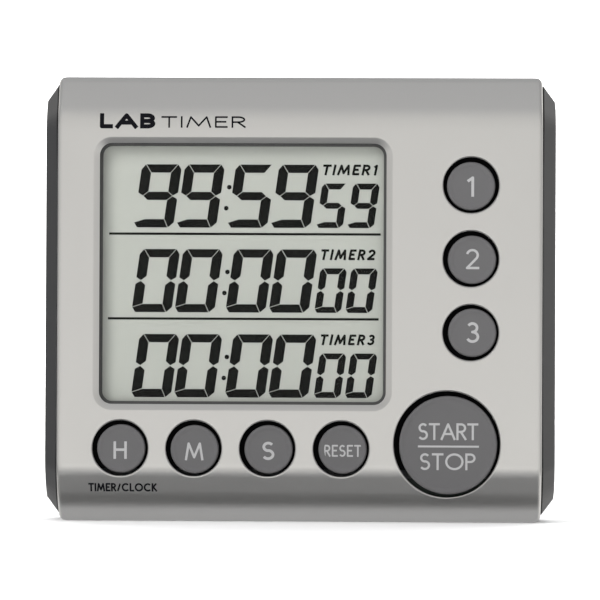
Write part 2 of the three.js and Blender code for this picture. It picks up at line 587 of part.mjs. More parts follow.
function modeSlider() {
  const centred = ([halfX, halfY], z) => box(about(SLIDER_X, halfX), about(SWITCH.y, halfY), z);
  const { pitch, half, reach, z } = SLIDER_RIBS;
  const ribs = [-pitch, 0, pitch].map((offset) => (
    box(about(SLIDER_X + offset, half), about(SWITCH.y, reach), z)));
  const arm = box(about(SLIDER_X, SLIDER.thumb[0]), [LEVER.y - 1.1, SWITCH.y], PLATE_Z);
  const fork = box(
    about(SLIDER_X, SLIDER.fork), [LEVER.y - 2, LEVER.y + SLIDER.fork], [PLATE_Z[0] - 1, PLATE_Z[1] + 1]);
  return cut(join(
    centred(SLIDER.thumb, SLIDER.thumbZ), ribs,
    centred(SLIDER.stem, [SLIDER.thumbZ[1] - 0.05, PLATE_Z[0] + 0.1]),
    centred(SLIDER.carrier, PLATE_Z), arm), fork);
}

const switchLever = () => box(
  about(SLIDER_X, LEVER.half), about(LEVER.y, LEVER.half), [PLATE_Z[0], LEVER.top]);

const switchBody = () => cut(
  box(about(SWITCH.x, SWITCH_BODY.half), [BOARD.back + GAP, SWITCH_BODY.back], SWITCH_BODY.z),
  box(about(SWITCH.x, SWITCH_BODY.slotHalf), about(LEVER.y, SWITCH_BODY.slotDeep),
    [BOARD.bottom, SWITCH_BODY.slotTop]));

// ---------------------------------------------------------------- power and sound

const UPPER_CELL_Z = (BAY.bottom + BAY.top) / 2 + BATTERY.radius + BATTERY.gap;
const LOWER_CELL_Z = (BAY.bottom + BAY.top) / 2 - BATTERY.radius - BATTERY.gap;

// An AAA cell whose nub points along side * X and meets the contact there.
function battery(z, side) {
  const tip = CONTACT.inner - GAP;
  const shoulder = tip - BATTERY.nubLength;
  const points = [
    [0, shoulder - BATTERY.length], [BATTERY.radius - 0.4, shoulder - BATTERY.length],
    [BATTERY.radius, shoulder - BATTERY.length + 0.4], [BATTERY.radius, shoulder - 0.5],
    [BATTERY.radius - 0.5, shoulder], [BATTERY.nub, shoulder], [BATTERY.nub, tip], [0, tip],
  ].map(([r, h]) => new THREE.Vector2(r, h));
  const geometry = new THREE.LatheGeometry(points, 32).rotateZ(-Math.PI / 2 * side);
  return solid(geometry.translate(0, BATTERY.y, z));
}

// A flat contact against the end of the bay, from z0 to z1, with an optional solder tail at tailZ.
function contact(side, z0, z1, tailZ) {
  const x = [CONTACT.inner, CONTACT.inner + CONTACT.thickness].map((v) => side * v).sort((a, b) => a - b);
  const strip = box(x, [CONTACT.low, CONTACT.high], [z0, z1]);
  if (!tailZ) return strip;
  const tail = box([CONTACT.inner, BAY.half + TAIL.length], [TAIL.low, TAIL.high], about(tailZ, TAIL.half));
  return join(strip, tail);
}

// A conical spring from the contact to the flat end of a cell, on side * X at height z.
function cellSpring(z, side) {
  const from = CONTACT.inner - SPRING.wire - GAP;
  const to = BATTERY.length + BATTERY.nubLength - CONTACT.inner + 2 * GAP + SPRING.wire;
  const points = Array.from({ length: SPRING.steps + 1 }, (_, i) => {
    const share = i / SPRING.steps;
    const angle = 2 * Math.PI * SPRING.turns * share;
    const radius = THREE.MathUtils.lerp(SPRING.wide, SPRING.narrow, share);
    const x = side * THREE.MathUtils.lerp(from, to, share);
    return new THREE.Vector3(x, BATTERY.y + radius * Math.cos(angle), z + radius * Math.sin(angle));
  });
  return wire(new THREE.CatmullRomCurve3(points), SPRING.wire, SPRING.steps, 2);
}

function batteryCover() {
  const { half, margin, depth, radius } = SEAT;
  const low = SEAT.bottom + margin;
  const high = SEAT.top - margin;
  const outline = roundedRectangle(0, (low + high) / 2, 2 * half - 0.8, high - low, radius - margin);
  const skin = plate(outline, BACK - depth + GAP, BACK);
  const tabs = [-1, 1].flatMap((side) => {
    const x = about(side * COVER_TABS.x, COVER_TABS.half);
    return [
      box(x, [COVER_TABS.front, COVER_TABS.back], [COVER_TABS.bottom, COVER_TABS.top]),
      box(x, [COVER_TABS.front, BACK - 0.5], [low + margin, COVER_TABS.top]),
    ];
  });
  const grips = Array.from({ length: COVER_GRIPS.count }, (_, i) => {
    const z = COVER_GRIPS.bottom + COVER_GRIPS.pitch * i;
    return box(about(0, COVER_GRIPS.half), [BACK - COVER_GRIPS.depth, BACK + 1], [z, z + COVER_GRIPS.width]);
  });
  return cut(join(skin, tabs), grips);
}

// The stand's blade has rounded corners below and square ones at its barrel.
function stand() {
  const { half, bottom, axisY, axisZ, front, back, pin } = STAND;
  const rounded = roundedRectangle(0, (bottom + axisZ) / 2, 2 * half, axisZ - bottom, STAND_CORNER);
  const outline = rounded.map((p) => (
    p.y > axisZ - 1.5 * STAND_CORNER
      ? new THREE.Vector2(Math.sign(p.x) * half, Math.max(p.y, axisZ - STAND_CORNER)) : p));
  const { z, width, height, radius } = STAND_RELIEF;
  const relief = plate(roundedRectangle(0, z, width, height, radius), back - 1, back + 1);
  const grip = rodX(
    back + STAND_GRIP.out, bottom + STAND_GRIP.up, STAND_GRIP.radius, ...about(0, STAND_GRIP.half), 12);
  const barrel = rodX(axisY, axisZ, 1, -half, half, 16);
  const pins = rodX(axisY, axisZ, pin, ...about(0, STAND_POCKET.boreEnd - CLEARANCE), 16);
  return cut(join(plate(outline, front, back), barrel, pins), relief, grip);
}

const magnet = (side) => rodY(side * MAGNET.x, MAGNET.z, MAGNET.radius, MAGNET.front, MAGNET.back, 32);

const BUZZER_Y = BUZZER.ledge - GAP;
const buzzerPlate = () => rodY(BUZZER.x, BUZZER.z, BUZZER.radius, BUZZER_Y - BUZZER.plate, BUZZER_Y, 36);
const buzzerCeramic = () => rodY(BUZZER.x, BUZZER.z, CERAMIC.radius,
  BUZZER_Y - BUZZER.plate - CERAMIC.thickness - 0.02, BUZZER_Y - BUZZER.plate - 0.02, 32);

// An insulated lead through a list of points.
function lead(points) {
  const curve = new THREE.CatmullRomCurve3(points.map((p) => new THREE.Vector3(...p)));
  return wire(curve, LEAD_RADIUS, 12, 3);
}

const contactAt = (z, tailZ) => contact(1, ...about(z, CONTACT.width / 2), tailZ);
const bridge = () => contact(-1, BAY.bottom + 0.8, BAY.top - 0.8);

// ---------------------------------------------------------------- the timer

const timer = new THREE.Group();

function add(name, body, finish) {
  const [color, roughness, metalness] = COLOURS[finish];
  const material = new THREE.MeshStandardMaterial({ color, roughness, metalness });
  const mesh = new THREE.Mesh(geometryOf(body), material);
  mesh.name = name;
  timer.add(mesh);
}

add('front_panel', frontPanel(), 'silver');
add('rear_case', rearCase(), 'charcoal');
add('window_tape', windowTape(), 'black');
add('display_window', displayWindow(), 'clear');
add('lcd_polariser', sheet(POLARISER.width, POLARISER.height, POLARISER.front, POLARISER.back), 'clear');
add('lcd_front_glass', glass(GLASS.height, FRONT_GLASS_Y), 'lcd');
add('lcd_rear_glass', glass(rearGlassHeight, REAR_GLASS_Y), 'lcd');
add('lcd_reflector', reflector(), 'white');
add('lcd_holder', lcdHolder(), 'white');
add('zebra_strip_upper', zebraStrip(1), 'rubber');
add('zebra_strip_lower', zebraStrip(-1), 'rubber');
add('circuit_board', circuitBoard(), 'board');
add('keypad_mat', keypadMat(), 'rubber');
KEYS.forEach((key) => add(key.name, keyButton(key), 'key'));
add('mode_slider', modeSlider(), 'key');
add('switch_lever', switchLever(), 'black');
add('switch_body', switchBody(), 'steel');
add('cob_chip', cobChip(), 'black');
add('crystal', crystal(), 'steel');
add('capacitor', capacitor(), 'black');
add('buzzer_plate', buzzerPlate(), 'brass');
add('buzzer_ceramic', buzzerCeramic(), 'white');
add('battery_upper', battery(UPPER_CELL_Z, 1), 'steel');
add('battery_lower', battery(LOWER_CELL_Z, -1), 'steel');
add('contact_bridge', bridge(), 'steel');
add('contact_positive', contactAt(UPPER_CELL_Z, TAIL.positiveZ), 'steel');
add('contact_negative', contactAt(LOWER_CELL_Z, TAIL.negativeZ), 'steel');
add('bridge_spring', cellSpring(UPPER_CELL_Z, -1), 'steel');
add('negative_spring', cellSpring(LOWER_CELL_Z, 1), 'steel');
add('battery_cover', batteryCover(), 'charcoal');
add('stand', stand(), 'charcoal');
add('magnet_left', magnet(-1), 'steel');
add('magnet_right', magnet(1), 'steel');
CASE_POSTS.forEach(([x, z], i) => {
  add(`case_screw_${i + 1}`, screw(x, z, CASE_POST.seat + 0.05, CASE_SCREW), 'steel');
});
BOARD_POSTS.forEach(([x, z], i) => {
  add(`board_screw_${i + 1}`, screw(x, z, BOARD.back + 0.05, BOARD_SCREW), 'steel');
});
Object.entries(LEADS).forEach(([name, points]) => {
  add(name, lead(points), name.endsWith('red') ? 'red' : 'black');
});

export default timer;
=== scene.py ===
"""Looks for the lab timer: housing, keys, display, print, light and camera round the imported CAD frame."""
import math

import bpy
import numpy as np
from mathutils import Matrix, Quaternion, Vector
from mathutils.geometry import delaunay_2d_cdt


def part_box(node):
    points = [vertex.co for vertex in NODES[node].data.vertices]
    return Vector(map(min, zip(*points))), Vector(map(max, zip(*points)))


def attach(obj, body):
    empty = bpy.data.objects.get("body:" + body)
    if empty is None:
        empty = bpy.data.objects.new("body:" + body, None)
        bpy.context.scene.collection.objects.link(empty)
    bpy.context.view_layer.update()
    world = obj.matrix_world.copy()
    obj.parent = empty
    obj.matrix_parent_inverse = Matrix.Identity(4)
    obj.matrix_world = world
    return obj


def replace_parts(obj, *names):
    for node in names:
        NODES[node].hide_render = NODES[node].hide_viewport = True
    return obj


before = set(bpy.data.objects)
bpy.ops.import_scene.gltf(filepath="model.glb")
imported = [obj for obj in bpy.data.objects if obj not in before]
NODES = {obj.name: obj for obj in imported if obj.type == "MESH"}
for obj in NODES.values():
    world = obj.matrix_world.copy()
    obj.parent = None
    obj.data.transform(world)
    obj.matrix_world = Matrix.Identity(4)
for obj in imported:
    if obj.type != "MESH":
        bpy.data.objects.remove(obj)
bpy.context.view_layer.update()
MM = 0.001

# ---------------------------------------------------------------- dimensions, in millimetres

HEIGHT = 103.7
FRONT = -13.0
BACK = 13.0
PARTING = -1.0
WALL = 2.0
THINNEST = 0.1
PANEL_HALF = 56.3
END_WIDTH, END_DEPTH, END_POWER = 1.3, 0.8, 2.5
END_CORNER = 1.7
END_STATIONS = (0.0, 0.02, 0.07, 0.15, 0.27, 0.42, 0.6, 0.8, 1.0, 1.2, 1.45, 1.7)
SMALLEST_RADIUS = 0.6
# The front is a plain function of height between these heights, ahead of this y.
GRAPH_LOW, GRAPH_HIGH, GRAPH_BEHIND = 2.3, 99.7, -5.0

# Side outline: bend height, band slope and fillet radius.
UPPER_BEND = (94.2, 24.0, 13.5)
LOWER_BEND = (12.0, 22.0, 9.0)
CHIN_BEND = (4.4, 50.0, 12.8)
CORNER_RADII = {"chin": 1.5, "bottom_back": 3.0, "top_back": 4.0, "top_front": 2.5}

WINDOW = {"x": -13.17, "z": 57.75, "width": 66.6, "height": 60.6, "radius": 2.9}
BEVEL_WIDTH = 1.45
BEVEL_DEPTH = 0.6
BEVEL_POWER = 1.12
LIP = 0.42

# Keys: places of the row, the column and the start key, hole radii, and radii of (cap, flange, stem).
ROW_LEFT, ROW_Z, PITCH = -41.47, 17.2, 17.1
COLUMN_X, COLUMN_TOP = 39.73, 78.5
LARGE_CENTRE = (34.33, 18.4)
SMALL_HOLE, LARGE_HOLE = 6.45, 12.3
SMALL_KEY_RADII = (5.62, 7.1, 2.4)
LARGE_KEY_RADII = (11.38, 13.6, 3.5)
SMALL_SIDES, LARGE_SIDES = 72, 128
CAP_SET_BACK = 0.5
CAP_EDGE = 0.45
DISH_DEPTH = 0.16
DISH_WIDTH = 1.1
CAP_RINGS = 13
FLANGE_PLAY, FLANGE_THICKNESS = 0.2, 0.8
FLANGE_TRIM_Z = 12.4

SMALL_KEYS = ("hour_button", "minute_button", "second_button", "reset_button",
              "timer1_button", "timer2_button", "timer3_button")
LARGE_KEY = "start_stop_button"

INK_THICKNESS = 0.03
PRINT_LIFT = 0.015

SLEEVE_COLOR = (0.36, 0.375, 0.39)
BARE_STEEL = (0.55, 0.55, 0.56, 1.0)
SLEEVE_BANDS = [(-1.0, 0.012, BARE_STEEL), (0.8, 0.97, (0.035, 0.037, 0.04, 1.0)), (0.97, 2.0, BARE_STEEL)]

# Wear along edges, paler partly from rubbing and partly as a painted highlight. The painted shadow in the
# parting line, which deepens between these metres from mid height.
WEAR_AND_HIGHLIGHT_WIDTH = 0.3
RUBBED_AND_HIGHLIT_PALE = 0.12
RUBBED_DULL = 0.08
SEAM_SHADE = 0.55
SEAM_DEEPENS = (0.028, 0.042)
SEAM_MIDDLE, SEAM_CORNER = 0.3, 0.65
SEAM_SHADOW_COLOR = (0.001, 0.001, 0.001, 1.0)
DULLNESS_SPREAD = 0.035
CHARCOAL_GLOSS = 0.8

# What glossy surfaces see: brightness by pitch in degrees from straight ahead of the display, brightness
# of the side cards by z of the direction, and the low cards' share by x of the direction.
PITCH_BANDS = [(-180, 0.45), (-135, 0.45), (-108, 0.52), (-94, 0.51), (-78, 0.058), (-62, 0.05),
               (-50, 0.115), (-40, 0.21), (-30, 0.42), (-20, 0.72), (-12, 1.18), (-4, 1.04), (3, 0.75),
               (8, 0.74), (16, 0.82), (25, 0.76), (36, 0.61), (48, 0.5), (65, 0.43), (110, 0.38), (180, 0.45)]
LEFT_CARD = [(-1.0, 0.5), (-0.6, 1.0), (-0.35, 0.85), (-0.2, 0.35), (0.15, 0.27), (0.28, 0.9), (0.45, 1.3),
             (1.0, 0.6)]
RIGHT_CARD = [(-1.0, 0.6), (-0.6, 1.2), (-0.35, 1.1), (-0.2, 0.95), (0.15, 0.93), (0.28, 1.4), (0.45, 1.6),
              (1.0, 0.6)]
LOW_CARDS = [(-0.8, 0.3), (-0.2, 0.0), (0.25, 0.0), (0.85, 0.9)]
SIDE_FADE = 0.4
WARM, COOL = (1.0, 0.985, 0.975), (0.996, 1.0, 1.05)
WARM_FROM, COOL_BELOW = 0.78, 0.4
WORLD_LIGHT = (0.5, 0.5, 0.505, 1)
WHITE, BLACK = (1.0, 1.0, 1.0, 1.0), (0.0, 0.0, 0.0, 1.0)

# Floor, in metres: extent, the radius of its sweep up into the backdrop, and where it starts to glow.
FLOOR_FRONT, FLOOR_BACK, FLOOR_HALF = -3.0, 1.2, 4.0
SWEEP, BACKDROP_TOP = 0.8, 4.0
FLOOR_GLOW = (0.4, 1.6)
FLOOR_GLOW_STRENGTH = 0.7

# Lights: place and size in metres, power in watts, and the point that each one faces.
TIMER_MIDDLE = (0.0, 0.0, 0.052)
LIGHTS = {
    "key_light": ((-0.62, -0.72, 0.72), (0.35, 0.35), 7.0, TIMER_MIDDLE),
    "front_fill": ((0.3, -1.6, 0.35), (1.6, 1.0), 3.0, TIMER_MIDDLE),
    "top_light": ((0.0, -0.1, 1.5), (2.0, 2.0), 14.0, TIMER_MIDDLE),
    "back_light": ((0.5, 1.3, 0.8), (1.2, 1.2), 10.0, TIMER_MIDDLE),
    "backdrop_light": ((0.0, 0.7, 1.6), (2.4, 0.8), 22.0, (0.0, 2.0, 0.5)),
}

# Camera: angles in degrees, distance in metres, focal length in millimetres.
LENS = 222.6
CAMERA_AZIMUTH, CAMERA_ELEVATION, CAMERA_ROLL = 1.6, -0.5, 0.25
CAMERA_DISTANCE = 0.86
CAMERA_AIM = Vector((0.00018, -0.013, 0.05172))


# ---------------------------------------------------------------- meshes

def mesh_object(name, points, faces, materials, sharp_degrees=35.0):
    """A mesh from points in millimetres, smooth except across edges sharper than the angle."""
    mesh = bpy.data.meshes.new(name)
    mesh.from_pydata([tuple(c * MM for c in p) for p in points], [], faces)
    mesh.validate()
    for material in materials:
        mesh.materials.append(material)
    mesh.polygons.foreach_set("use_smooth", [True] * len(mesh.polygons))
    mesh.set_sharp_from_angle(angle=math.radians(sharp_degrees))
    mesh.update()
    piece = bpy.data.objects.new(name, mesh)
    bpy.context.scene.collection.objects.link(piece)
    return piece


def arc(cx, cy, rx, ry, start, end, steps=14):
    """Points along an elliptical arc, angles in degrees."""
    angles = [math.radians(start + (end - start) * i / steps) for i in range(steps + 1)]
    return [(cx + rx * math.cos(a), cy + ry * math.sin(a)) for a in angles]


def ring_faces(rings, count):
    """Quads between successive rings of the same point count."""
    faces = []
    for r in range(rings - 1):
        for i in range(count):
            j = (i + 1) % count
            faces.append((r * count + i, r * count + j, (r + 1) * count + j, (r + 1) * count + i))
    return faces


# ---------------------------------------------------------------- side outline

def side_corners():
    """Corners of the side outline as (y, z, radius), anticlockwise seen with +Y to the right."""
    def run(height, degrees):
        return height * math.tan(math.radians(degrees))
    lower_y = FRONT + run(LOWER_BEND[0] - CHIN_BEND[0], LOWER_BEND[1])
    upper_y = FRONT + run(HEIGHT - UPPER_BEND[0], UPPER_BEND[1])
    return [
        (lower_y + run(CHIN_BEND[0], CHIN_BEND[1]), 0.0, CORNER_RADII["chin"]),
        (BACK, 0.0, CORNER_RADII["bottom_back"]),
        (BACK, HEIGHT, CORNER_RADII["top_back"]),
        (upper_y, HEIGHT, CORNER_RADII["top_front"]),
        (FRONT, UPPER_BEND[0], UPPER_BEND[2]),
        (FRONT, LOWER_BEND[0], LOWER_BEND[2]),
        (lower_y, CHIN_BEND[0], CHIN_BEND[2]),
    ]


def side_outline(inset, steps=10):
    """The rounded side outline moved inwards by inset: (y, z) points, the same count at any inset."""
    corners = side_corners()
    count = len(corners)
    edges = []
    for i, (y, z, _) in enumerate(corners):
        ny, nz, _ = corners[(i + 1) % count]
        along = Vector((ny - y, nz - z)).normalized()
        inwards = Vector((-along.y, along.x))
        edges.append((Vector((y, z)) + inwards * inset, along))
    points = []
    for i, (_, _, radius) in enumerate(corners):
        (before_from, before), (after_from, after) = edges[i - 1], edges[i]
        turn = before.x * after.y - before.y * after.x
        gap = after_from - before_from
        reach = (gap.x * after.y - gap.y * after.x) / turn
        corner = before_from + before * reach
        fillet = max(radius - inset, SMALLEST_RADIUS)
        angle = math.acos(max(-1.0, min(1.0, before.dot(after))))
        start = corner - before * (fillet * math.tan(angle / 2))
        centre = start + Vector((-before.y, before.x)) * fillet
        for k in range(steps + 1):
            t = angle * k / steps
            d = start - centre
            points.append((centre.x + d.x * math.cos(t) - d.y * math.sin(t),
                           centre.y + d.x * math.sin(t) + d.y * math.cos(t)))
    return points


def front_run(inset):
    """The outline from the parting line at the bottom, round the front, to the parting line at the top."""
    points = side_outline(inset)
    per_corner = len(points) // 7
    forward = points[3 * per_corner:] + points[:per_corner]
    return [(PARTING, inset)] + forward[::-1] + [(PARTING, HEIGHT - inset)]


OUTER_RUN = front_run(0.0)
INNER_RUN = front_run(WALL)
RUN_LENGTHS = np.concatenate([[0.0], np.cumsum(
    [math.dist(a, b) for a, b in zip(OUTER_RUN, OUTER_RUN[1:])])])
RUN_Y = np.array([p[0] for p in OUTER_RUN])
RUN_Z = np.array([p[1] for p in OUTER_RUN])


def face_y(z):
    """The y of the front surface at height z, where the surface can be seen from the front."""
    return float(np.interp(z, RUN_Z, RUN_Y))


def along_run(z):
    """Distance along the outline, from the lower parting line, of the front surface at height z."""
    return float(np.interp(z, RUN_Z[1:-1], RUN_LENGTHS[1:-1]))


INNER_ORDER = sorted((z, y) for y, z in INNER_RUN[1:-1])


def inner_partner(length):
    """The inner surface's (y, z) behind the outer surface at that distance along the outline."""
    y = float(np.interp(length, RUN_LENGTHS, RUN_Y))
    z = float(np.interp(length, RUN_LENGTHS, RUN_Z))
    if GRAPH_LOW <= z <= GRAPH_HIGH and y < GRAPH_BEHIND:
        inner_y = float(np.interp(z, [p[0] for p in INNER_ORDER], [p[1] for p in INNER_ORDER]))
        return inner_y, z
    share = float(np.interp(length, RUN_LENGTHS, np.arange(len(RUN_LENGTHS))))
    i = min(int(share), len(INNER_RUN) - 2)
    t = share - i
    (ya, za), (yb, zb) = INNER_RUN[i], INNER_RUN[i + 1]
    return ya + (yb - ya) * t, za + (zb - za) * t


# ---------------------------------------------------------------- front panel

def key_centre(name):
    """(x, z) of a key's axis in millimetres, from its cap, which is never trimmed at the top or sides."""
    low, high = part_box(name)
    radius = (high.x - low.x) / 2
    return (low.x + radius) / MM, (high.z - radius) / MM


SMALL_HOLES = [(ROW_LEFT + PITCH * i, ROW_Z) for i in range(4)]
SMALL_HOLES += [(COLUMN_X, COLUMN_TOP - PITCH * i) for i in range(3)]
HOLES = [(x, z, SMALL_HOLE) for x, z in SMALL_HOLES] + [(*LARGE_CENTRE, LARGE_HOLE)]


def rounded_distance(x, z, grow=0.0):
    """Signed distance outside the window's rounded rectangle."""
    dx = abs(x - WINDOW["x"]) - (WINDOW["width"] / 2 - WINDOW["radius"])
    dz = abs(z - WINDOW["z"]) - (WINDOW["height"] / 2 - WINDOW["radius"])
    outside = math.hypot(max(dx, 0.0), max(dz, 0.0))
    return outside + min(max(dx, dz), 0.0) - WINDOW["radius"] - grow


def window_outline(grow, steps=12):
    """The window's outline, grown, as (x, z) points."""
    radius = WINDOW["radius"] + grow
    half_x = WINDOW["width"] / 2 - WINDOW["radius"]
    half_z = WINDOW["height"] / 2 - WINDOW["radius"]
    points = []
    for sx, sz, start in ((1, 1, 0), (-1, 1, 90), (-1, -1, 180), (1, -1, 270)):
        centre = (WINDOW["x"] + sx * half_x, WINDOW["z"] + sz * half_z)
        points += arc(*centre, radius, radius, start, start + 90, steps)
    return points


def sunk_depth(x, z):
    """How far the lip of a hole, or the window's bevel, sinks the surface at (x, z)."""
    for cx, cz, radius in HOLES:
        d = math.hypot(x - cx, z - cz) - radius
        if d < LIP:
            return LIP - math.sqrt(max(LIP ** 2 - (LIP - max(d, 0.0)) ** 2, 0.0))
    d = rounded_distance(x, z)
    if d < BEVEL_WIDTH:
        t = 1 - max(d, 0.0) / BEVEL_WIDTH
        return BEVEL_DEPTH * t ** BEVEL_POWER
    return 0.0


def end_inset(x):
    """How far the rounded end draws the outline in at x."""
    t = min(1.0, max(0.0, abs(x) - (PANEL_HALF - END_WIDTH)) / END_WIDTH)
    return END_DEPTH * (1 - (1 - t ** END_POWER) ** (1 / END_POWER))


def corner_drop(x):
    """How far the corner, rounded as seen from the front, draws the top and bottom in at x."""
    t = max(0.0, abs(x) - (PANEL_HALF - END_CORNER))
    return END_CORNER - math.sqrt(max(0.0, END_CORNER ** 2 - t ** 2))


def circle(cx, cz, radius, sides):
    return [(cx + radius * math.cos(2 * math.pi * i / sides), cz + radius * math.sin(2 * math.pi * i / sides))
            for i in range(sides)]


def panel_loops():
    """Closed loops on the front surface, as (x, z): the rings of each lip and of the window's bevel."""
    inner, outer = [], []
    for cx, cz, radius in HOLES:
        sides = 64 if radius < 10 else 112
        inner.append(circle(cx, cz, radius, sides))
        for share in (0.035, 0.13, 0.29, 0.5, 0.74, 1.0, 1.5):
            outer.append(circle(cx, cz, radius + LIP * share, sides))
    inner.append(window_outline(0.0))
    for share in (0.1, 0.3, 0.5, 0.7, 0.82, 0.9, 0.96, 1.0, 1.06):
        outer.append(window_outline(BEVEL_WIDTH * share))
    return inner, outer


def triangulate_panel():
    """The unrolled panel without its openings: (x, distance along the outline) points, and triangles."""
    points, edges = [], []

    def add_loop(loop, closed=True):
        start = len(points)
        points.extend(loop)
        links = [(start + i, start + i + 1) for i in range(len(loop) - 1)]
        edges.extend(links + ([(start + len(loop) - 1, start)] if closed else []))
    stations = [PANEL_HALF - offset for offset in reversed(END_STATIONS)]
    verticals = [-x for x in reversed(stations)] + stations
    for x in verticals:
        add_loop([(x, 0.0), (x, float(RUN_LENGTHS[-1]))], closed=False)
    for s in RUN_LENGTHS:
        add_loop([(verticals[0], float(s)), (verticals[-1], float(s))], closed=False)
    inner, outer = panel_loops()
    for loop in inner + outer:
        add_loop([(x, along_run(z)) for x, z in loop])
    made = delaunay_2d_cdt([Vector(p) for p in points], edges, [], 0, 1e-5)
    kept = []
    for face in made[2]:
        x = sum(made[0][i].x for i in face) / 3
        s = sum(made[0][i].y for i in face) / 3
        z = float(np.interp(s, RUN_LENGTHS, RUN_Z))
        in_hole = any(math.hypot(x - cx, z - cz) < radius * 0.999 for cx, cz, radius in HOLES)
        if not in_hole and rounded_distance(x, z) > -0.01:
            kept.append(tuple(face))
    return [(v.x, v.y) for v in made[0]], kept


def build_panel(silver, inside):
    """The front panel: outer skin with lips, inner skin, and the walls between them."""
    flat, faces = triangulate_panel()
    used = sorted({i for face in faces for i in face})
    order = {old: new for new, old in enumerate(used)}
    faces = [tuple(order[i] for i in face) for face in faces]
    outer, inner = [], []
    for i in used:
        x, s = flat[i]
        y = float(np.interp(s, RUN_LENGTHS, RUN_Y))
        z = float(np.interp(s, RUN_LENGTHS, RUN_Z))
        iy, iz = inner_partner(s)
        share = end_inset(x) / WALL
        depth = sunk_depth(x, z) if y < GRAPH_BEHIND else 0.0
        drop = corner_drop(x)
        outer_z = min(max(z + (iz - z) * share, drop), HEIGHT - drop)
        outer.append((x, y + (iy - y) * share + depth, outer_z))
        inner.append((x, max(iy, y + depth + THINNEST) if y < GRAPH_BEHIND else iy, iz))
    count = len(outer)
    links = {}
    for face in faces:
        for a, b in zip(face, face[1:] + face[:1]):
            links[(a, b)] = links.get((a, b), 0) + 1
    rim = [edge for edge in links if (edge[1], edge[0]) not in links]
    walls = [(b, a, a + count, b + count) for a, b in rim]
    backs = [tuple(i + count for i in reversed(face)) for face in faces]
    piece = mesh_object("panel_shell", outer + inner, faces + backs + walls, [silver, inside], 38.0)
    # The back skin and every wall are black: unpainted plastic inside, and, in the key holes, painted shade
    # for the dark ring round each cap.
    material_index = [0] * len(faces) + [1] * (len(backs) + len(walls))
    piece.data.polygons.foreach_set("material_index", material_index)
    return piece


# ---------------------------------------------------------------- keys

def key_profile(cap, flange, stem, base):
    """[radius, y] from the middle of the dished face to the end of the stem."""
    front = FRONT + CAP_SET_BACK
    rim = cap - CAP_EDGE
    dish = [(rim - DISH_WIDTH * t, front + DISH_DEPTH * (1 - math.cos(math.pi * t)) / 2)
            for t in (1.0, 0.8, 0.6, 0.4, 0.2)]
    edge = []
    for degrees in (0, 15, 30, 45, 60, 75, 90):
        a = math.radians(degrees)
        edge.append((cap - CAP_EDGE * (1 - math.sin(a)), front + CAP_EDGE * (1 - math.cos(a))))
    behind = FRONT + WALL + FLANGE_PLAY
    stem_from = behind + FLANGE_THICKNESS
    return [(cap * 0.5, front + DISH_DEPTH), *dish, *edge, (cap, behind), (flange, behind),
            (flange, stem_from), (stem, stem_from), (stem, base)]


def build_key(name, key_plastic, black, radii, sides):
    """A key cap with its retaining flange, which is cut short where the case curves in below it."""
    x, z = key_centre(name)
    cap = radii[0]
    profile = key_profile(*radii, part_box(name)[1].y / MM)
    points = []
    for r, y in profile:
        for i in range(sides):
            a = 2 * math.pi * i / sides
            radius = r
            if r > cap and z + r * math.sin(a) < FLANGE_TRIM_Z:
                radius = max(cap + 0.01, (FLANGE_TRIM_Z - z) / math.sin(a))
            points.append((x + radius * math.cos(a), y, z + radius * math.sin(a)))
    faces = ring_faces(len(profile), sides)
    last = (len(profile) - 1) * sides
    faces.append(tuple(range(sides))[::-1])
    faces.append(tuple(range(last, last + sides)))
    faces = [tuple(reversed(face)) for face in faces]
    piece = mesh_object(name.replace("_button", "_key"), points, faces, [key_plastic, black], 40.0)
    # The flange and stem are black: painted shade that darkens the ring between the cap and its hole.
    dark = CAP_RINGS * sides
    material_index = [int(dark <= i) for i in range(len(faces) - 2)] + [0, 1]
    piece.data.polygons.foreach_set("material_index", material_index)
    return piece


# ---------------------------------------------------------------- print and legends

def letter_strokes():
    """Centre lines of the capitals and digits used, in a box one unit high."""
    bowl = [(0, 1), (0.24, 1), *arc(0.24, 0.745, 0.26, 0.255, 90, -90), (0, 0.49)]
    ess = arc(0.25, 0.755, 0.235, 0.245, 35, 262) + arc(0.24, 0.262, 0.26, 0.262, 82, -148)
    three = arc(0.25, 0.765, 0.225, 0.235, 150, -90) + arc(0.25, 0.265, 0.27, 0.265, 90, -155)
    return {
        "A": [[(0, 0), (0.42, 1), (0.84, 0)], [(0.15, 0.34), (0.69, 0.34)]],
        "B": [[(0, 0), (0, 1)], bowl, [(0.24, 0.49), *arc(0.24, 0.245, 0.28, 0.245, 90, -90), (0, 0)]],
        "C": [arc(0.5, 0.5, 0.5, 0.5, 48, 312, 24)],
        "E": [[(0.46, 1), (0, 1), (0, 0), (0.46, 0)], [(0, 0.52), (0.44, 0.52)]],
        "H": [[(0, 0), (0, 1)], [(0.66, 0), (0.66, 1)], [(0, 0.53), (0.66, 0.53)]],
        "I": [[(0, 0), (0, 1)]],
        "K": [[(0, 0), (0, 1)], [(0, 0.42), (0.5, 1)], [(0.13, 0.56), (0.56, 0)]],
        "L": [[(0, 1), (0, 0), (0.42, 0)]],
        "M": [[(0, 0), (0.15, 1), (0.48, 0.12), (0.81, 1), (0.96, 0)]],
        "O": [arc(0.5, 0.5, 0.5, 0.5, 0, 360, 32)],
        "P": [[(0, 0), (0, 1)], bowl],
        "R": [[(0, 0), (0, 1)], bowl, [(0.22, 0.49), (0.52, 0)]],
        "S": [ess],
        "T": [[(0, 1), (0.58, 1)], [(0.29, 0), (0.29, 1)]],
        "1": [[(0, 0.8), (0.2, 1), (0.2, 0)]],
        "2": [arc(0.27, 0.72, 0.27, 0.28, 168, -38) + [(0, 0), (0.56, 0)]],
        "3": [three],
        "/": [[(0, -0.08), (0.38, 1.04)]],
    }


LETTERS = letter_strokes()


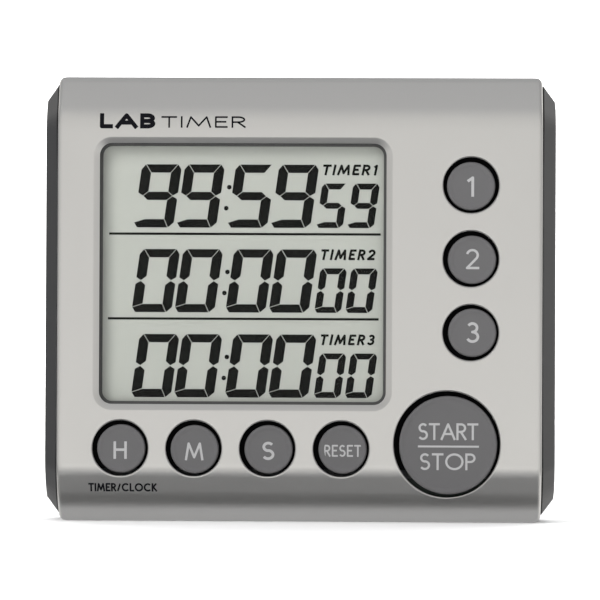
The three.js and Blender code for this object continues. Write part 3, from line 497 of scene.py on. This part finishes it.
def squared(run, stroke, cap):
    """A stroke whose ends on the baseline or at cap height reach the full height of the letter."""
    ends = []
    for (x, z), (nx, nz) in ((run[0], run[1]), (run[-1], run[-2])):
        at_limit = abs(z - stroke / 2) < 0.01 or abs(z - cap + stroke / 2) < 0.01
        reach = stroke / 2 / math.dist((x, z), (nx, nz)) if at_limit else 0.0
        ends.append((x + (x - nx) * reach, z + (z - nz) * reach))
    return [ends[0], *run[1:-1], ends[1]]


def lay_out(text, cap, stroke, spacing, stretch=1.0):
    """Stroke centre lines of a word in millimetres, starting at (0, 0), and the word's width."""
    lines, x = [], 0.0
    height = cap - stroke
    for letter in text:
        strokes = LETTERS[letter]
        right = max(p[0] for line in strokes for p in line) * height * stretch
        for line in strokes:
            run = [(x + stroke / 2 + px * height * stretch, stroke / 2 + pz * height) for px, pz in line]
            lines.append(squared(run, stroke, cap))
        x += right + stroke + spacing
    return lines, x - spacing


def ink_outlines(lines, stroke, step):
    """Convex outlines that cover each stroke: a quad per short step and a disc at each corner."""
    outlines = []
    half = stroke / 2
    for line in lines:
        for (x0, z0), (x1, z1) in zip(line, line[1:]):
            length = math.hypot(x1 - x0, z1 - z0)
            if length < 1e-6:
                continue
            ux, uz = (x1 - x0) / length, (z1 - z0) / length
            nx, nz = -uz * half, ux * half
            pieces = max(1, math.ceil(length / step))
            for k in range(pieces):
                a, b = length * k / pieces, length * (k + 1) / pieces
                start, end = (x0 + ux * a, z0 + uz * a), (x0 + ux * b, z0 + uz * b)
                outlines.append([(start[0] + nx, start[1] + nz), (start[0] - nx, start[1] - nz),
                                 (end[0] - nx, end[1] - nz), (end[0] + nx, end[1] + nz)])
        outlines += [circle(x, z, half, 16) for x, z in line[1:-1]]
    return outlines


def signed_area(outline):
    return sum(a[0] * b[1] - b[0] * a[1] for a, b in zip(outline, outline[1:] + outline[:1])) / 2


def merge_outlines(outlines):
    """One set of triangles that covers every outline once: (x, z) points and faces."""
    points, faces = [], []
    for outline in outlines:
        if abs(signed_area(outline)) < 1e-7:
            continue
        ring = outline if signed_area(outline) > 0 else outline[::-1]
        faces.append(list(range(len(points), len(points) + len(ring))))
        points.extend(ring)
    made = delaunay_2d_cdt([Vector(p) for p in points], [], faces, 1, 1e-5)
    covered = [tuple(face) for face, sources in zip(made[2], made[5]) if sources]
    used = sorted({i for face in covered for i in face})
    order = {old: new for new, old in enumerate(used)}
    flat = [(made[0][i].x, made[0][i].y) for i in used]
    return flat, [tuple(order[i] for i in face) for face in covered]


def ink_piece(name, outlines, surface_y, material):
    """A thin closed film over the outlines: surface_y gives the y of its face at each height."""
    flat, faces = merge_outlines(outlines)
    count = len(flat)
    front = [(x, surface_y(z), z) for x, z in flat]
    back = [(x, y + INK_THICKNESS, z) for x, y, z in front]
    links = {(a, b) for face in faces for a, b in zip(face, face[1:] + face[:1])}
    rim = [(a, b) for a, b in links if (b, a) not in links]
    walls = [(b, a, a + count, b + count) for a, b in sorted(rim)]
    backs = [tuple(i + count for i in reversed(face)) for face in faces]
    return mesh_object(name, front + back, faces + backs + walls, [material], 30.0)


def placed(lines, x, z, lean=0.0):
    """Strokes moved to (x, z) and leant to the right."""
    tilt = math.tan(math.radians(lean))
    return [[(x + px + pz * tilt, z + pz) for px, pz in line] for line in lines]


def word(text, left, right, low, cap, stroke, spacing, lean=0.0):
    """Strokes of a word that spans left to right."""
    _, natural = lay_out(text, cap, stroke, spacing)
    gaps = spacing * (len(text) - 1) + stroke * len(text)
    stretch = (right - left - gaps) / max(natural - gaps, 1e-6)
    lines, _ = lay_out(text, cap, stroke, spacing, stretch)
    return placed(lines, left, low, lean)


def centred(text, x, z, width, cap, stroke, spacing):
    return word(text, x - width / 2, x + width / 2, z - cap / 2, cap, stroke, spacing)


LEGENDS = {  # per key: text, offset in x and z, width, cap height, stroke, gap between letters
    "hour_button": [("H", -0.25, -0.4, 3.1, 4.05, 0.59, 0.3)],
    "minute_button": [("M", -0.1, -0.5, 4.3, 4.15, 0.53, 0.3)],
    "second_button": [("S", -0.08, -0.35, 2.85, 4.25, 0.63, 0.3)],
    "reset_button": [("RESET", 0.0, -0.3, 8.7, 2.75, 0.38, 0.3)],
    "timer1_button": [("1", -0.22, -0.1, 1.8, 4.7, 0.64, 0.3)],
    "timer2_button": [("2", 0.12, 0.18, 3.1, 4.7, 0.55, 0.3)],
    "timer3_button": [("3", 0.08, 0.05, 3.05, 4.8, 0.62, 0.3)],
    LARGE_KEY: [("START", 0.0, 3.12, 13.9, 3.9, 0.5, 0.2), ("STOP", -0.1, -3.85, 12.9, 3.9, 0.5, 0.4)],
}
DIVIDER = {"left": -7.0, "right": 7.1, "z": -0.33, "stroke": 0.44}
TITLE = [  # text, left, right, foot, cap height, stroke, gap between letters
    ("LAB", -46.5, -33.6, 91.4, 3.55, 0.98, 0.6),
    ("TIMER", -32.2, -12.6, 91.6, 2.7, 0.4, 0.9),
]
MODE = [("TIMER/CLOCK", -48.9, -32.9, 7.05, 1.97, 0.4, 0.14)]
TITLE_STEP, MODE_STEP, LEGEND_STEP, PLAIN_STEP = 0.4, 0.3, 2.0, 20.0


def build_legends(ink):
    """The pale legends printed on the keys."""
    for key, words in LEGENDS.items():
        x, z = key_centre(key)
        outlines = []
        for text, dx, dz, width, cap, stroke, spacing in words:
            lines = centred(text, x + dx, z + dz, width, cap, stroke, spacing)
            outlines += ink_outlines(lines, stroke, LEGEND_STEP)
        if key == LARGE_KEY:
            height = z + DIVIDER["z"]
            line = [(x + DIVIDER["left"], height), (x + DIVIDER["right"], height)]
            outlines += ink_outlines([line], DIVIDER["stroke"], PLAIN_STEP)
        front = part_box(key)[0].y / MM + DISH_DEPTH - PRINT_LIFT
        piece = ink_piece(key.replace("_button", "_legend"), outlines, lambda height: front, ink)
        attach(piece, key)


def build_print(ink):
    """The two lines of dark print on the front panel."""
    for name, words, step in (("title_print", TITLE, TITLE_STEP), ("mode_print", MODE, MODE_STEP)):
        outlines = []
        for text, left, right, foot, cap, stroke, spacing in words:
            outlines += ink_outlines(word(text, left, right, foot, cap, stroke, spacing), stroke, step)
        piece = ink_piece(name, outlines, lambda height: face_y(height) - PRINT_LIFT, ink)
        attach(piece, "housing")


# ---------------------------------------------------------------- display

def inset_outline(outline, distance):
    """A convex outline drawn in by distance."""
    ring = outline if signed_area(outline) > 0 else outline[::-1]
    lines = []
    for (x0, z0), (x1, z1) in zip(ring, ring[1:] + ring[:1]):
        length = math.hypot(x1 - x0, z1 - z0)
        ux, uz = (x1 - x0) / length, (z1 - z0) / length
        lines.append((x0 - uz * distance, z0 + ux * distance, ux, uz))
    points = []
    for (ax, az, aux, auz), (bx, bz, bux, buz) in zip(lines[-1:] + lines[:-1], lines):
        t = ((bx - ax) * buz - (bz - az) * bux) / (aux * buz - auz * bux)
        points.append((ax + aux * t, az + auz * t))
    return points


def digit_segments(width, height, upright, level):
    """The seven segments of an upright digit as outlines, named a to g, with no gaps between them."""
    cut_x, cut_z, shoulder = upright * 0.38, level * 0.6, level * 0.36
    middle, w = height / 2, width
    left, right = upright, width - upright
    return {
        "a": [(cut_x, height), (w - cut_x, height), (right, height - level), (left, height - level)],
        "b": [(w - cut_x, height), (w, height - cut_z), (w, middle + shoulder), (w - upright / 2, middle),
              (right, middle + level / 2), (right, height - level)],
        "c": [(w, middle - shoulder), (w, cut_z), (w - cut_x * 1.4, 0), (right, level),
              (right, middle - level / 2), (w - upright / 2, middle)],
        "d": [(w - cut_x * 1.4, 0), (cut_x, 0), (0, cut_z), (left, level), (right, level)],
        "e": [(0, cut_z), (0, middle - shoulder), (upright / 2, middle), (left, middle - level / 2),
              (left, level)],
        "f": [(0, middle + shoulder), (0, height - cut_z), (cut_x, height), (left, height - level),
              (left, middle + level / 2), (upright / 2, middle)],
        "g": [(upright / 2, middle), (left, middle + level / 2), (right, middle + level / 2),
              (w - upright / 2, middle), (right, middle - level / 2), (left, middle - level / 2)],
    }


LIT = {"0": "abcdef", "5": "acdfg", "9": "abcdfg"}
SLANT = math.tan(math.radians(8.0))
SEGMENT_GAP = 0.14
ROWS = [  # large digits, small digits, height of the foot, shift to the right, label
    ("9959", "59", 68.47, 0.5, "TIMER1"),
    ("0000", "00", 48.72, 0.16, "TIMER2"),
    ("0000", "00", 28.92, 0.1, "TIMER3"),
]
LARGE_DIGIT = (9.45, 14.85, 2.48, 2.06)  # width, height, upright stroke, level stroke
SMALL_DIGIT = (6.35, 10.5, 1.84, 1.52)
COLON = {"x": -18.35, "heights": (4.6, 9.5), "radius": 0.54}
LABEL = {"left": 4.4, "right": 17.15, "foot": 12.35, "cap": 2.5, "stroke": 0.54, "spacing": 0.56,
         "lean": 12.0}
LARGE_LEFTS = (-39.48, -29.46, -17.58, -7.5)
SMALL_LEFTS = (3.13, 10.35)
RULES = [(-44.5, 18.8, 67.07), (-44.7, 18.4, 47.31)]  # left, right, height
RULE_THICKNESS = 0.54


def digit_outlines(shown, left, foot, size):
    outlines = []
    segments = digit_segments(*size)
    for key in LIT[shown]:
        drawn = inset_outline(segments[key], SEGMENT_GAP / 2)
        outlines.append([(left + x + z * SLANT, foot + z) for x, z in drawn])
    return outlines


def build_display(ink):
    """The dark segments, colons, labels and rules of the display, just in front of the polariser."""
    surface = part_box("lcd_polariser")[0].y / MM - PRINT_LIFT - INK_THICKNESS
    outlines = []
    for large, small, foot, shift, label in ROWS:
        for shown, left in zip(large, LARGE_LEFTS):
            outlines += digit_outlines(shown, left + shift, foot, LARGE_DIGIT)
        for shown, left in zip(small, SMALL_LEFTS):
            outlines += digit_outlines(shown, left + shift, foot, SMALL_DIGIT)
        for up in COLON["heights"]:
            outlines.append(circle(COLON["x"] + shift + up * SLANT, foot + up, COLON["radius"], 24))
        lines = word(label, LABEL["left"] + shift, LABEL["right"] + shift, foot + LABEL["foot"],
                     LABEL["cap"], LABEL["stroke"], LABEL["spacing"], LABEL["lean"])
        outlines += ink_outlines(lines, LABEL["stroke"], PLAIN_STEP)
    for left, right, z in RULES:
        low, high = z - RULE_THICKNESS / 2, z + RULE_THICKNESS / 2
        outlines.append([(left, low), (right, low), (right, high), (left, high)])
    piece = ink_piece("lcd_segments", outlines, lambda height: surface, ink)
    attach(piece, "housing")


# ---------------------------------------------------------------- materials

def new_material(name):
    material = bpy.data.materials.new(name)
    material.use_nodes = True
    tree = material.node_tree
    return material, tree, tree.nodes["Principled BSDF"]


def math_node(tree, operation, first, second):
    node = tree.nodes.new("ShaderNodeMath")
    node.operation = operation
    for socket, value in zip(node.inputs, (first, second)):
        if isinstance(value, (int, float)):
            socket.default_value = value
        else:
            tree.links.new(value, socket)
    return node.outputs["Value"]


def rise(tree, source, start, end):
    """0 at start, 1 at end, a straight run between."""
    node = tree.nodes.new("ShaderNodeMapRange")
    node.inputs["From Min"].default_value = start
    node.inputs["From Max"].default_value = end
    tree.links.new(source, node.inputs["Value"])
    return node.outputs["Result"]


def blend(tree, share, first, second):
    node = tree.nodes.new("ShaderNodeMix")
    node.data_type = "RGBA"
    tree.links.new(share, node.inputs["Factor"])
    for socket, value in ((node.inputs["A"], first), (node.inputs["B"], second)):
        if isinstance(value, tuple):
            socket.default_value = value
        else:
            tree.links.new(value, socket)
    return node.outputs["Result"]


def noise(tree, scale, detail=3.0):
    """Noise that depends on the place in metres."""
    node = tree.nodes.new("ShaderNodeTexNoise")
    node.inputs["Scale"].default_value = scale
    node.inputs["Detail"].default_value = detail
    coordinates = tree.nodes.new("ShaderNodeTexCoord")
    tree.links.new(coordinates.outputs["Object"], node.inputs["Vector"])
    return node.outputs["Fac"]


def ramp(tree, source, low, high, dark, light):
    node = tree.nodes.new("ShaderNodeValToRGB")
    node.color_ramp.elements[0].position = low
    node.color_ramp.elements[1].position = high
    node.color_ramp.elements[0].color = (*dark, 1)
    node.color_ramp.elements[1].color = (*light, 1)
    tree.links.new(source, node.inputs["Fac"])
    return node.outputs["Color"]


def remap(tree, source, low, high):
    node = tree.nodes.new("ShaderNodeMapRange")
    node.inputs["From Min"].default_value = 0.3
    node.inputs["From Max"].default_value = 0.7
    node.inputs["To Min"].default_value = low
    node.inputs["To Max"].default_value = high
    tree.links.new(source, node.inputs["Value"])
    return node.outputs["Result"]


def bump(tree, shader, source, strength, distance):
    node = tree.nodes.new("ShaderNodeBump")
    node.inputs["Strength"].default_value = strength
    node.inputs["Distance"].default_value = distance * MM
    tree.links.new(source, node.inputs["Height"])
    tree.links.new(node.outputs["Normal"], shader.inputs["Normal"])


def rubbed_and_highlit_edges(tree):
    """1 on a sharp edge and 0 away from it, broken up so that the worn, paler edge, partly a painted
    highlight, is uneven.
    """
    rounded = tree.nodes.new("ShaderNodeBevel")
    rounded.samples = 4
    rounded.inputs["Radius"].default_value = WEAR_AND_HIGHLIGHT_WIDTH * MM
    likeness = tree.nodes.new("ShaderNodeVectorMath")
    likeness.operation = "DOT_PRODUCT"
    tree.links.new(rounded.outputs["Normal"], likeness.inputs[0])
    tree.links.new(tree.nodes.new("ShaderNodeNewGeometry").outputs["Normal"], likeness.inputs[1])
    edge = rise(tree, likeness.outputs["Value"], 0.99, 0.9)
    return math_node(tree, "MULTIPLY", edge, rise(tree, noise(tree, 350.0), 0.3, 0.65))


def textured(name, color, roughness, grain_per_mm, grain_depth, metallic=0.0, spread=0.06, gloss=0.5,
             strength=0.35, wear_and_highlight=0.0):
    """A moulded or metal surface: colour and gloss vary, a fine grain lifts it, and its edges are worn and
    paler, partly a painted highlight.
    """
    material, tree, shader = new_material(name)
    fine = noise(tree, grain_per_mm * 1000, 2.0)
    broad = noise(tree, 60.0, 3.0)
    dark = [c * (1 - spread) for c in color]
    light = [min(1.0, c * (1 + spread)) for c in color]
    shown = ramp(tree, fine, 0.3, 0.7, dark, light)
    dullness = remap(tree, broad, roughness * (1 - DULLNESS_SPREAD), roughness * (1 + DULLNESS_SPREAD))
    if wear_and_highlight:
        rubbed_and_highlit = math_node(tree, "MULTIPLY", rubbed_and_highlit_edges(tree), wear_and_highlight)
        # Paler edges: partly worn, partly a painted highlight along each edge.
        shown = blend(tree, rubbed_and_highlit, shown, (*(c + (1 - c) * RUBBED_AND_HIGHLIT_PALE for c in color), 1.0))
        dullness = math_node(tree, "ADD", dullness, math_node(tree, "MULTIPLY", rubbed_and_highlit, RUBBED_DULL))
    tree.links.new(shown, shader.inputs["Base Color"])
    tree.links.new(dullness, shader.inputs["Roughness"])
    shader.inputs["Metallic"].default_value = metallic
    shader.inputs["Specular IOR Level"].default_value = gloss
    bump(tree, shader, fine, strength, grain_depth)
    return material


def place_axes(tree):
    """The x, y and z of a point in metres."""
    split = tree.nodes.new("ShaderNodeSeparateXYZ")
    tree.links.new(tree.nodes.new("ShaderNodeTexCoord").outputs["Object"], split.inputs["Vector"])
    return [split.outputs[axis] for axis in "XYZ"]


def shade_seam(material, gloss):
    """The painted shadow in the parting line between a cheek and the silver panel, deepest at the corners."""
    tree = material.node_tree
    shader = tree.nodes["Principled BSDF"]
    x, y, z = place_axes(tree)
    side = math_node(tree, "ABSOLUTE", x, 0.0)
    off_middle = math_node(tree, "ABSOLUTE", math_node(tree, "SUBTRACT", z, HEIGHT / 2 * MM), 0.0)
    outer = rise(tree, side, (PANEL_HALF + SEAM_SHADE) * MM, (PANEL_HALF + SEAM_SHADE / 2) * MM)
    inner = rise(tree, side, (PANEL_HALF - 0.1) * MM, PANEL_HALF * MM)
    ahead = rise(tree, y, (PARTING + 1.0) * MM, PARTING * MM)
    corner = math_node(tree, "MULTIPLY", rise(tree, off_middle, *SEAM_DEEPENS), SEAM_CORNER)
    deep = math_node(tree, "ADD", corner, SEAM_MIDDLE)
    share = math_node(tree, "MULTIPLY", math_node(tree, "MULTIPLY", outer, inner),
                      math_node(tree, "MULTIPLY", ahead, deep))
    # Painted shadow: the base colour darkens to near black and the reflection fades in the parting line.
    base = shader.inputs["Base Color"].links[0].from_socket
    tree.links.new(blend(tree, share, base, SEAM_SHADOW_COLOR), shader.inputs["Base Color"])
    left = math_node(tree, "SUBTRACT", 1.0, share)
    tree.links.new(math_node(tree, "MULTIPLY", left, gloss), shader.inputs["Specular IOR Level"])


def clear_material(name, tint, haze):
    """A clear sheet that lets light straight through, with a reflection that grows at grazing angles."""
    material, tree, shader = new_material(name)
    tree.nodes.remove(shader)
    out = tree.nodes["Material Output"]
    through = tree.nodes.new("ShaderNodeBsdfTransparent")
    gloss = tree.nodes.new("ShaderNodeBsdfGlossy")
    mix = tree.nodes.new("ShaderNodeMixShader")
    fresnel = tree.nodes.new("ShaderNodeFresnel")
    fresnel.inputs["IOR"].default_value = 1.12
    cast = ramp(tree, noise(tree, 90.0), 0.3, 0.7, [c * 0.995 for c in tint], tint)
    tree.links.new(cast, through.inputs["Color"])
    tree.links.new(remap(tree, noise(tree, 250.0), haze, haze * 1.3), gloss.inputs["Roughness"])
    tree.links.new(fresnel.outputs["Fac"], mix.inputs["Fac"])
    tree.links.new(through.outputs["BSDF"], mix.inputs[1])
    tree.links.new(gloss.outputs["BSDF"], mix.inputs[2])
    tree.links.new(mix.outputs["Shader"], out.inputs["Surface"])
    return material


def battery_sleeve(name, side):
    """A grey sleeve with a dark band at the nub's end, which is at side * X, and bare metal ends."""
    material = textured(name + "_sleeve", SLEEVE_COLOR, 0.3, 4.0, 0.004, metallic=0.3, spread=0.1)
    tree = material.node_tree
    base = tree.nodes["Principled BSDF"].inputs["Base Color"]
    low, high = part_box(name)
    ends = (low.x, high.x) if side > 0 else (high.x, low.x)
    along = rise(tree, place_axes(tree)[0], *ends)
    shown = base.links[0].from_socket
    for start, end, color in SLEEVE_BANDS:
        inside = math_node(tree, "MULTIPLY", math_node(tree, "GREATER_THAN", along, start),
                           math_node(tree, "LESS_THAN", along, end))
        shown = blend(tree, inside, shown, color)
    tree.links.new(shown, base)
    return material


def shell_materials():
    """Materials that are seen from outside."""
    return {
        "silver": textured("silver_paint", (0.66, 0.655, 0.629), 0.288, 9.0, 0.003, metallic=0.9, spread=0.02,
                           strength=0.2, wear_and_highlight=0.5),
        "charcoal": textured("charcoal_plastic", (0.021, 0.0213, 0.0212), 0.38, 5.0, 0.012, spread=0.08,
                             gloss=CHARCOAL_GLOSS, wear_and_highlight=0.6),
        "key": textured("key_plastic", (0.111, 0.109, 0.111), 0.5, 6.0, 0.01, spread=0.05, gloss=0.3,
                        wear_and_highlight=0.5),
        "black": textured("black_plastic", (0.003, 0.003, 0.0032), 0.8, 6.0, 0.01, gloss=0.05),
        "tape": textured("black_tape", (0.085, 0.085, 0.083), 0.7, 6.0, 0.004, gloss=0.1),
        "lcd": textured("lcd_film", (0.462, 0.459, 0.436), 0.55, 12.0, 0.002, spread=0.015, gloss=0.1),
        "segment": textured("segment_ink", (0.010, 0.010, 0.0095), 0.7, 8.0, 0.002, gloss=0.0),
        "print": textured("dark_print", (0.004, 0.004, 0.006), 0.6, 8.0, 0.004, gloss=0.1),
        "legend": textured("pale_print", (0.385, 0.385, 0.385), 0.6, 8.0, 0.004, spread=0.03, gloss=0.2),
        "lens": clear_material("clear_lens", (0.99, 1.0, 0.99), 0.04),
        "glass": clear_material("lcd_glass", (0.97, 0.98, 0.97), 0.02),
        "magnet": textured("magnet_nickel", (0.4, 0.4, 0.41), 0.42, 4.0, 0.01, metallic=1.0, spread=0.14,
                           wear_and_highlight=0.6),
    }


def inner_materials():
    """Materials of the pieces inside the case."""
    return {
        "white": textured("white_plastic", (0.72, 0.72, 0.7), 0.45, 5.0, 0.01),
        "rubber": textured("grey_silicone", (0.17, 0.175, 0.18), 0.7, 5.0, 0.02),
        "board": textured("green_board", (0.006, 0.035, 0.016), 0.35, 3.0, 0.01, spread=0.15, gloss=0.6),
        "steel": textured("plated_steel", (0.56, 0.56, 0.57), 0.3, 10.0, 0.003, metallic=1.0, spread=0.05),
        "brass": textured("brass_disc", (0.65, 0.48, 0.2), 0.32, 10.0, 0.003, metallic=1.0),
        "upper_cell": battery_sleeve("battery_upper", 1),
        "lower_cell": battery_sleeve("battery_lower", -1),
        "red": textured("red_insulation", (0.42, 0.02, 0.015), 0.45, 6.0, 0.01),
    }


PLAIN_NODES = {
    "charcoal": ("rear_case", "battery_cover", "stand"),
    "key": ("mode_slider",),
    "tape": ("window_tape",),
    "lens": ("display_window",),
    "lcd": ("lcd_polariser", "lcd_reflector"),
    "glass": ("lcd_front_glass", "lcd_rear_glass"),
    "white": ("lcd_holder", "buzzer_ceramic"),
    "rubber": ("zebra_strip_upper", "zebra_strip_lower", "keypad_mat"),
    "board": ("circuit_board",),
    "black": ("switch_lever", "cob_chip", "capacitor", "battery_lead_black", "buzzer_lead_black"),
    "steel": ("switch_body", "crystal", "contact_bridge", "contact_positive", "contact_negative",
              "bridge_spring",
              "negative_spring", "case_screw_1", "case_screw_2", "case_screw_3",
              "case_screw_4", "board_screw_1", "board_screw_2", "board_screw_3", "board_screw_4"),
    "brass": ("buzzer_plate",),
    "magnet": ("magnet_left", "magnet_right"),
    "upper_cell": ("battery_upper",),
    "lower_cell": ("battery_lower",),
    "red": ("battery_lead_red", "buzzer_lead_red"),
}


SOFT_EDGES = {"rear_case": 0.35, "battery_cover": 0.3, "stand": 0.35, "mode_slider": 0.12}


def finish_nodes(materials):
    """Materials and softened edges for the CAD nodes that are shown as they are."""
    for kind, names in PLAIN_NODES.items():
        for name in names:
            node = NODES[name]
            node.data.materials.clear()
            node.data.materials.append(materials[kind])
            node.data.polygons.foreach_set("use_smooth", [True] * len(node.data.polygons))
            node.data.set_sharp_from_angle(angle=math.radians(32))
    for name, width in SOFT_EDGES.items():
        soften = NODES[name].modifiers.new("soften", "BEVEL")
        soften.width = width * MM
        soften.segments = 2
        soften.limit_method = "ANGLE"
        soften.angle_limit = math.radians(38)
        soften.use_clamp_overlap = True
        soften.harden_normals = True
        even = NODES[name].modifiers.new("even", "WEIGHTED_NORMAL")
        even.keep_sharp = True


# ---------------------------------------------------------------- stage, light and camera

def floor_profile():
    """(y, z) in metres along the floor and up the backdrop."""
    sweep = [math.radians(degrees) for degrees in range(6, 91, 6)]
    curve = [(FLOOR_BACK + SWEEP * math.sin(a), SWEEP - SWEEP * math.cos(a)) for a in sweep]
    return [(FLOOR_FRONT, 0.0), (FLOOR_BACK, 0.0), *curve, (FLOOR_BACK + SWEEP, BACKDROP_TOP)]


def build_floor():
    """A pale floor that curves up into a backdrop and glows a little away from the timer."""
    profile = floor_profile()
    points = [(x / MM, y / MM, z / MM) for y, z in profile for x in (-FLOOR_HALF, FLOOR_HALF)]
    faces = [(2 * i, 2 * i + 1, 2 * i + 3, 2 * i + 2) for i in range(len(profile) - 1)]
    material, tree, shader = new_material("pale_floor")
    shader.inputs["Roughness"].default_value = 0.9
    shader.inputs["Specular IOR Level"].default_value = 0.0
    tree.links.new(ramp(tree, noise(tree, 8.0), 0.3, 0.7, (0.86, 0.86, 0.86), (0.88, 0.88, 0.88)),
                   shader.inputs["Base Color"])
    distance = tree.nodes.new("ShaderNodeVectorMath")
    distance.operation = "LENGTH"
    tree.links.new(tree.nodes.new("ShaderNodeTexCoord").outputs["Object"], distance.inputs[0])
    shader.inputs["Emission Color"].default_value = WHITE
    away = rise(tree, distance.outputs["Value"], *FLOOR_GLOW)
    tree.links.new(math_node(tree, "MULTIPLY", away, FLOOR_GLOW_STRENGTH), shader.inputs["Emission Strength"])
    floor = mesh_object("floor", points, faces, [material])
    floor.visible_glossy = False


def area_light(name, place, size, power, aim):
    data = bpy.data.lights.new(name, "AREA")
    data.shape = "RECTANGLE"
    data.size, data.size_y = size
    data.energy = power
    light = bpy.data.objects.new(name, data)
    light.location = place
    light.rotation_euler = (Vector(aim) - Vector(place)).to_track_quat("-Z", "Y").to_euler()
    light.visible_glossy = False
    bpy.context.scene.collection.objects.link(light)


def stops_ramp(tree, source, stops):
    """A colour ramp through the given (place, brightness) stops."""
    node = tree.nodes.new("ShaderNodeValToRGB")
    tree.links.new(source, node.inputs["Fac"])
    elements = node.color_ramp.elements
    for place, _ in stops[1:-1]:
        elements.new(place)
    for element, (place, value) in zip(elements, stops):
        warmth = min(max((value - COOL_BELOW) / (WARM_FROM - COOL_BELOW), 0.0), 1.0)
        element.position = place
        element.color = (*(value * (c + (w - c) * warmth) for c, w in zip(COOL, WARM)), 1)
    return node.outputs["Color"]


def studio_reflections(tree):
    """What glossy surfaces see: bands by pitch ahead and behind, and a pair of side cards by height."""
    split = tree.nodes.new("ShaderNodeSeparateXYZ")
    tree.links.new(tree.nodes.new("ShaderNodeTexCoord").outputs["Generated"], split.inputs["Vector"])
    x, y, z = (split.outputs[axis] for axis in "XYZ")
    pitch = math_node(tree, "ARCTAN2", z, math_node(tree, "MULTIPLY", y, -1.0))
    turn = math_node(tree, "ADD", math_node(tree, "MULTIPLY", pitch, 0.5 / math.pi), 0.5)
    bands = stops_ramp(tree, turn, [(0.5 + degrees / 360, value) for degrees, value in PITCH_BANDS])
    height = math_node(tree, "ADD", math_node(tree, "MULTIPLY", z, 0.5), 0.5)
    left = stops_ramp(tree, height, [(0.5 + 0.5 * place, value) for place, value in LEFT_CARD])
    right = stops_ramp(tree, height, [(0.5 + 0.5 * place, value) for place, value in RIGHT_CARD])
    cards = blend(tree, math_node(tree, "GREATER_THAN", x, 0.0), left, right)
    sideways = math_node(tree, "ABSOLUTE", x, 0.0)
    behind = math_node(tree, "MULTIPLY", rise(tree, y, 0.0, 0.28), rise(tree, sideways, 0.3, 0.6))
    across = math_node(tree, "ADD", math_node(tree, "MULTIPLY", x, 0.5), 0.5)
    reach = stops_ramp(tree, across, [(0.5 + 0.5 * place, value) for place, value in LOW_CARDS])
    below = math_node(tree, "MULTIPLY", rise(tree, z, -0.2, -0.45), reach)
    faded = blend(tree, math_node(tree, "MULTIPLY", sideways, SIDE_FADE), bands, BLACK)
    return blend(tree, math_node(tree, "MAXIMUM", behind, below), faded, cards)


def build_world():
    """Soft, even light for every surface, with shaped reflections for the glossy ones."""
    world = bpy.data.worlds.new("studio")
    bpy.context.scene.world = world
    world.use_nodes = True
    tree = world.node_tree
    path = tree.nodes.new("ShaderNodeLightPath")
    light = blend(tree, path.outputs["Is Glossy Ray"], WORLD_LIGHT, studio_reflections(tree))
    shown = blend(tree, path.outputs["Is Camera Ray"], light, WHITE)
    tree.links.new(shown, tree.nodes["Background"].inputs["Color"])


def build_lights():
    """A soft key from the upper left, a weak fill from the front, and lights for floor and backdrop."""
    for name, (place, size, power, aim) in LIGHTS.items():
        area_light(name, place, size, power, aim)


def direction_to(azimuth, elevation):
    """Unit vector from the timer towards a viewer: angles in degrees, azimuth 0 ahead of the display."""
    a, e = math.radians(azimuth), math.radians(elevation)
    return Vector((math.sin(a) * math.cos(e), -math.cos(a) * math.cos(e), math.sin(e)))


def build_camera():
    """Almost straight on, a little from the right, with a long lens."""
    data = bpy.data.cameras.new("camera")
    camera = bpy.data.objects.new("camera", data)
    bpy.context.scene.collection.objects.link(camera)
    data.sensor_width = 36.0
    data.lens = LENS
    view = direction_to(CAMERA_AZIMUTH, CAMERA_ELEVATION)
    camera.location = CAMERA_AIM + view * CAMERA_DISTANCE
    camera.rotation_mode = "QUATERNION"
    level = (-view).to_track_quat("-Z", "Y")
    camera.rotation_quaternion = level @ Quaternion((0, 0, 1), math.radians(CAMERA_ROLL))
    data.clip_start, data.clip_end = 0.01, 50.0
    bpy.context.scene.camera = camera


def build_pieces(materials):
    """The pieces that replace CAD nodes, and the ink on them."""
    panel = build_panel(materials["silver"], materials["black"])
    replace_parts(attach(panel, "housing"), "front_panel")
    for name in (*SMALL_KEYS, LARGE_KEY):
        radii, sides = SMALL_KEY_RADII, SMALL_SIDES
        if name == LARGE_KEY:
            radii, sides = LARGE_KEY_RADII, LARGE_SIDES
        key = build_key(name, materials["key"], materials["black"], radii, sides)
        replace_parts(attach(key, name), name)
    build_legends(materials["legend"])
    build_print(materials["print"])
    build_display(materials["segment"])


def main():
    materials = shell_materials() | inner_materials()
    shade_seam(materials["charcoal"], CHARCOAL_GLOSS)
    finish_nodes(materials)
    build_pieces(materials)
    build_floor()
    build_world()
    build_lights()
    build_camera()
    bpy.context.scene.view_settings.view_transform = "Standard"


main()
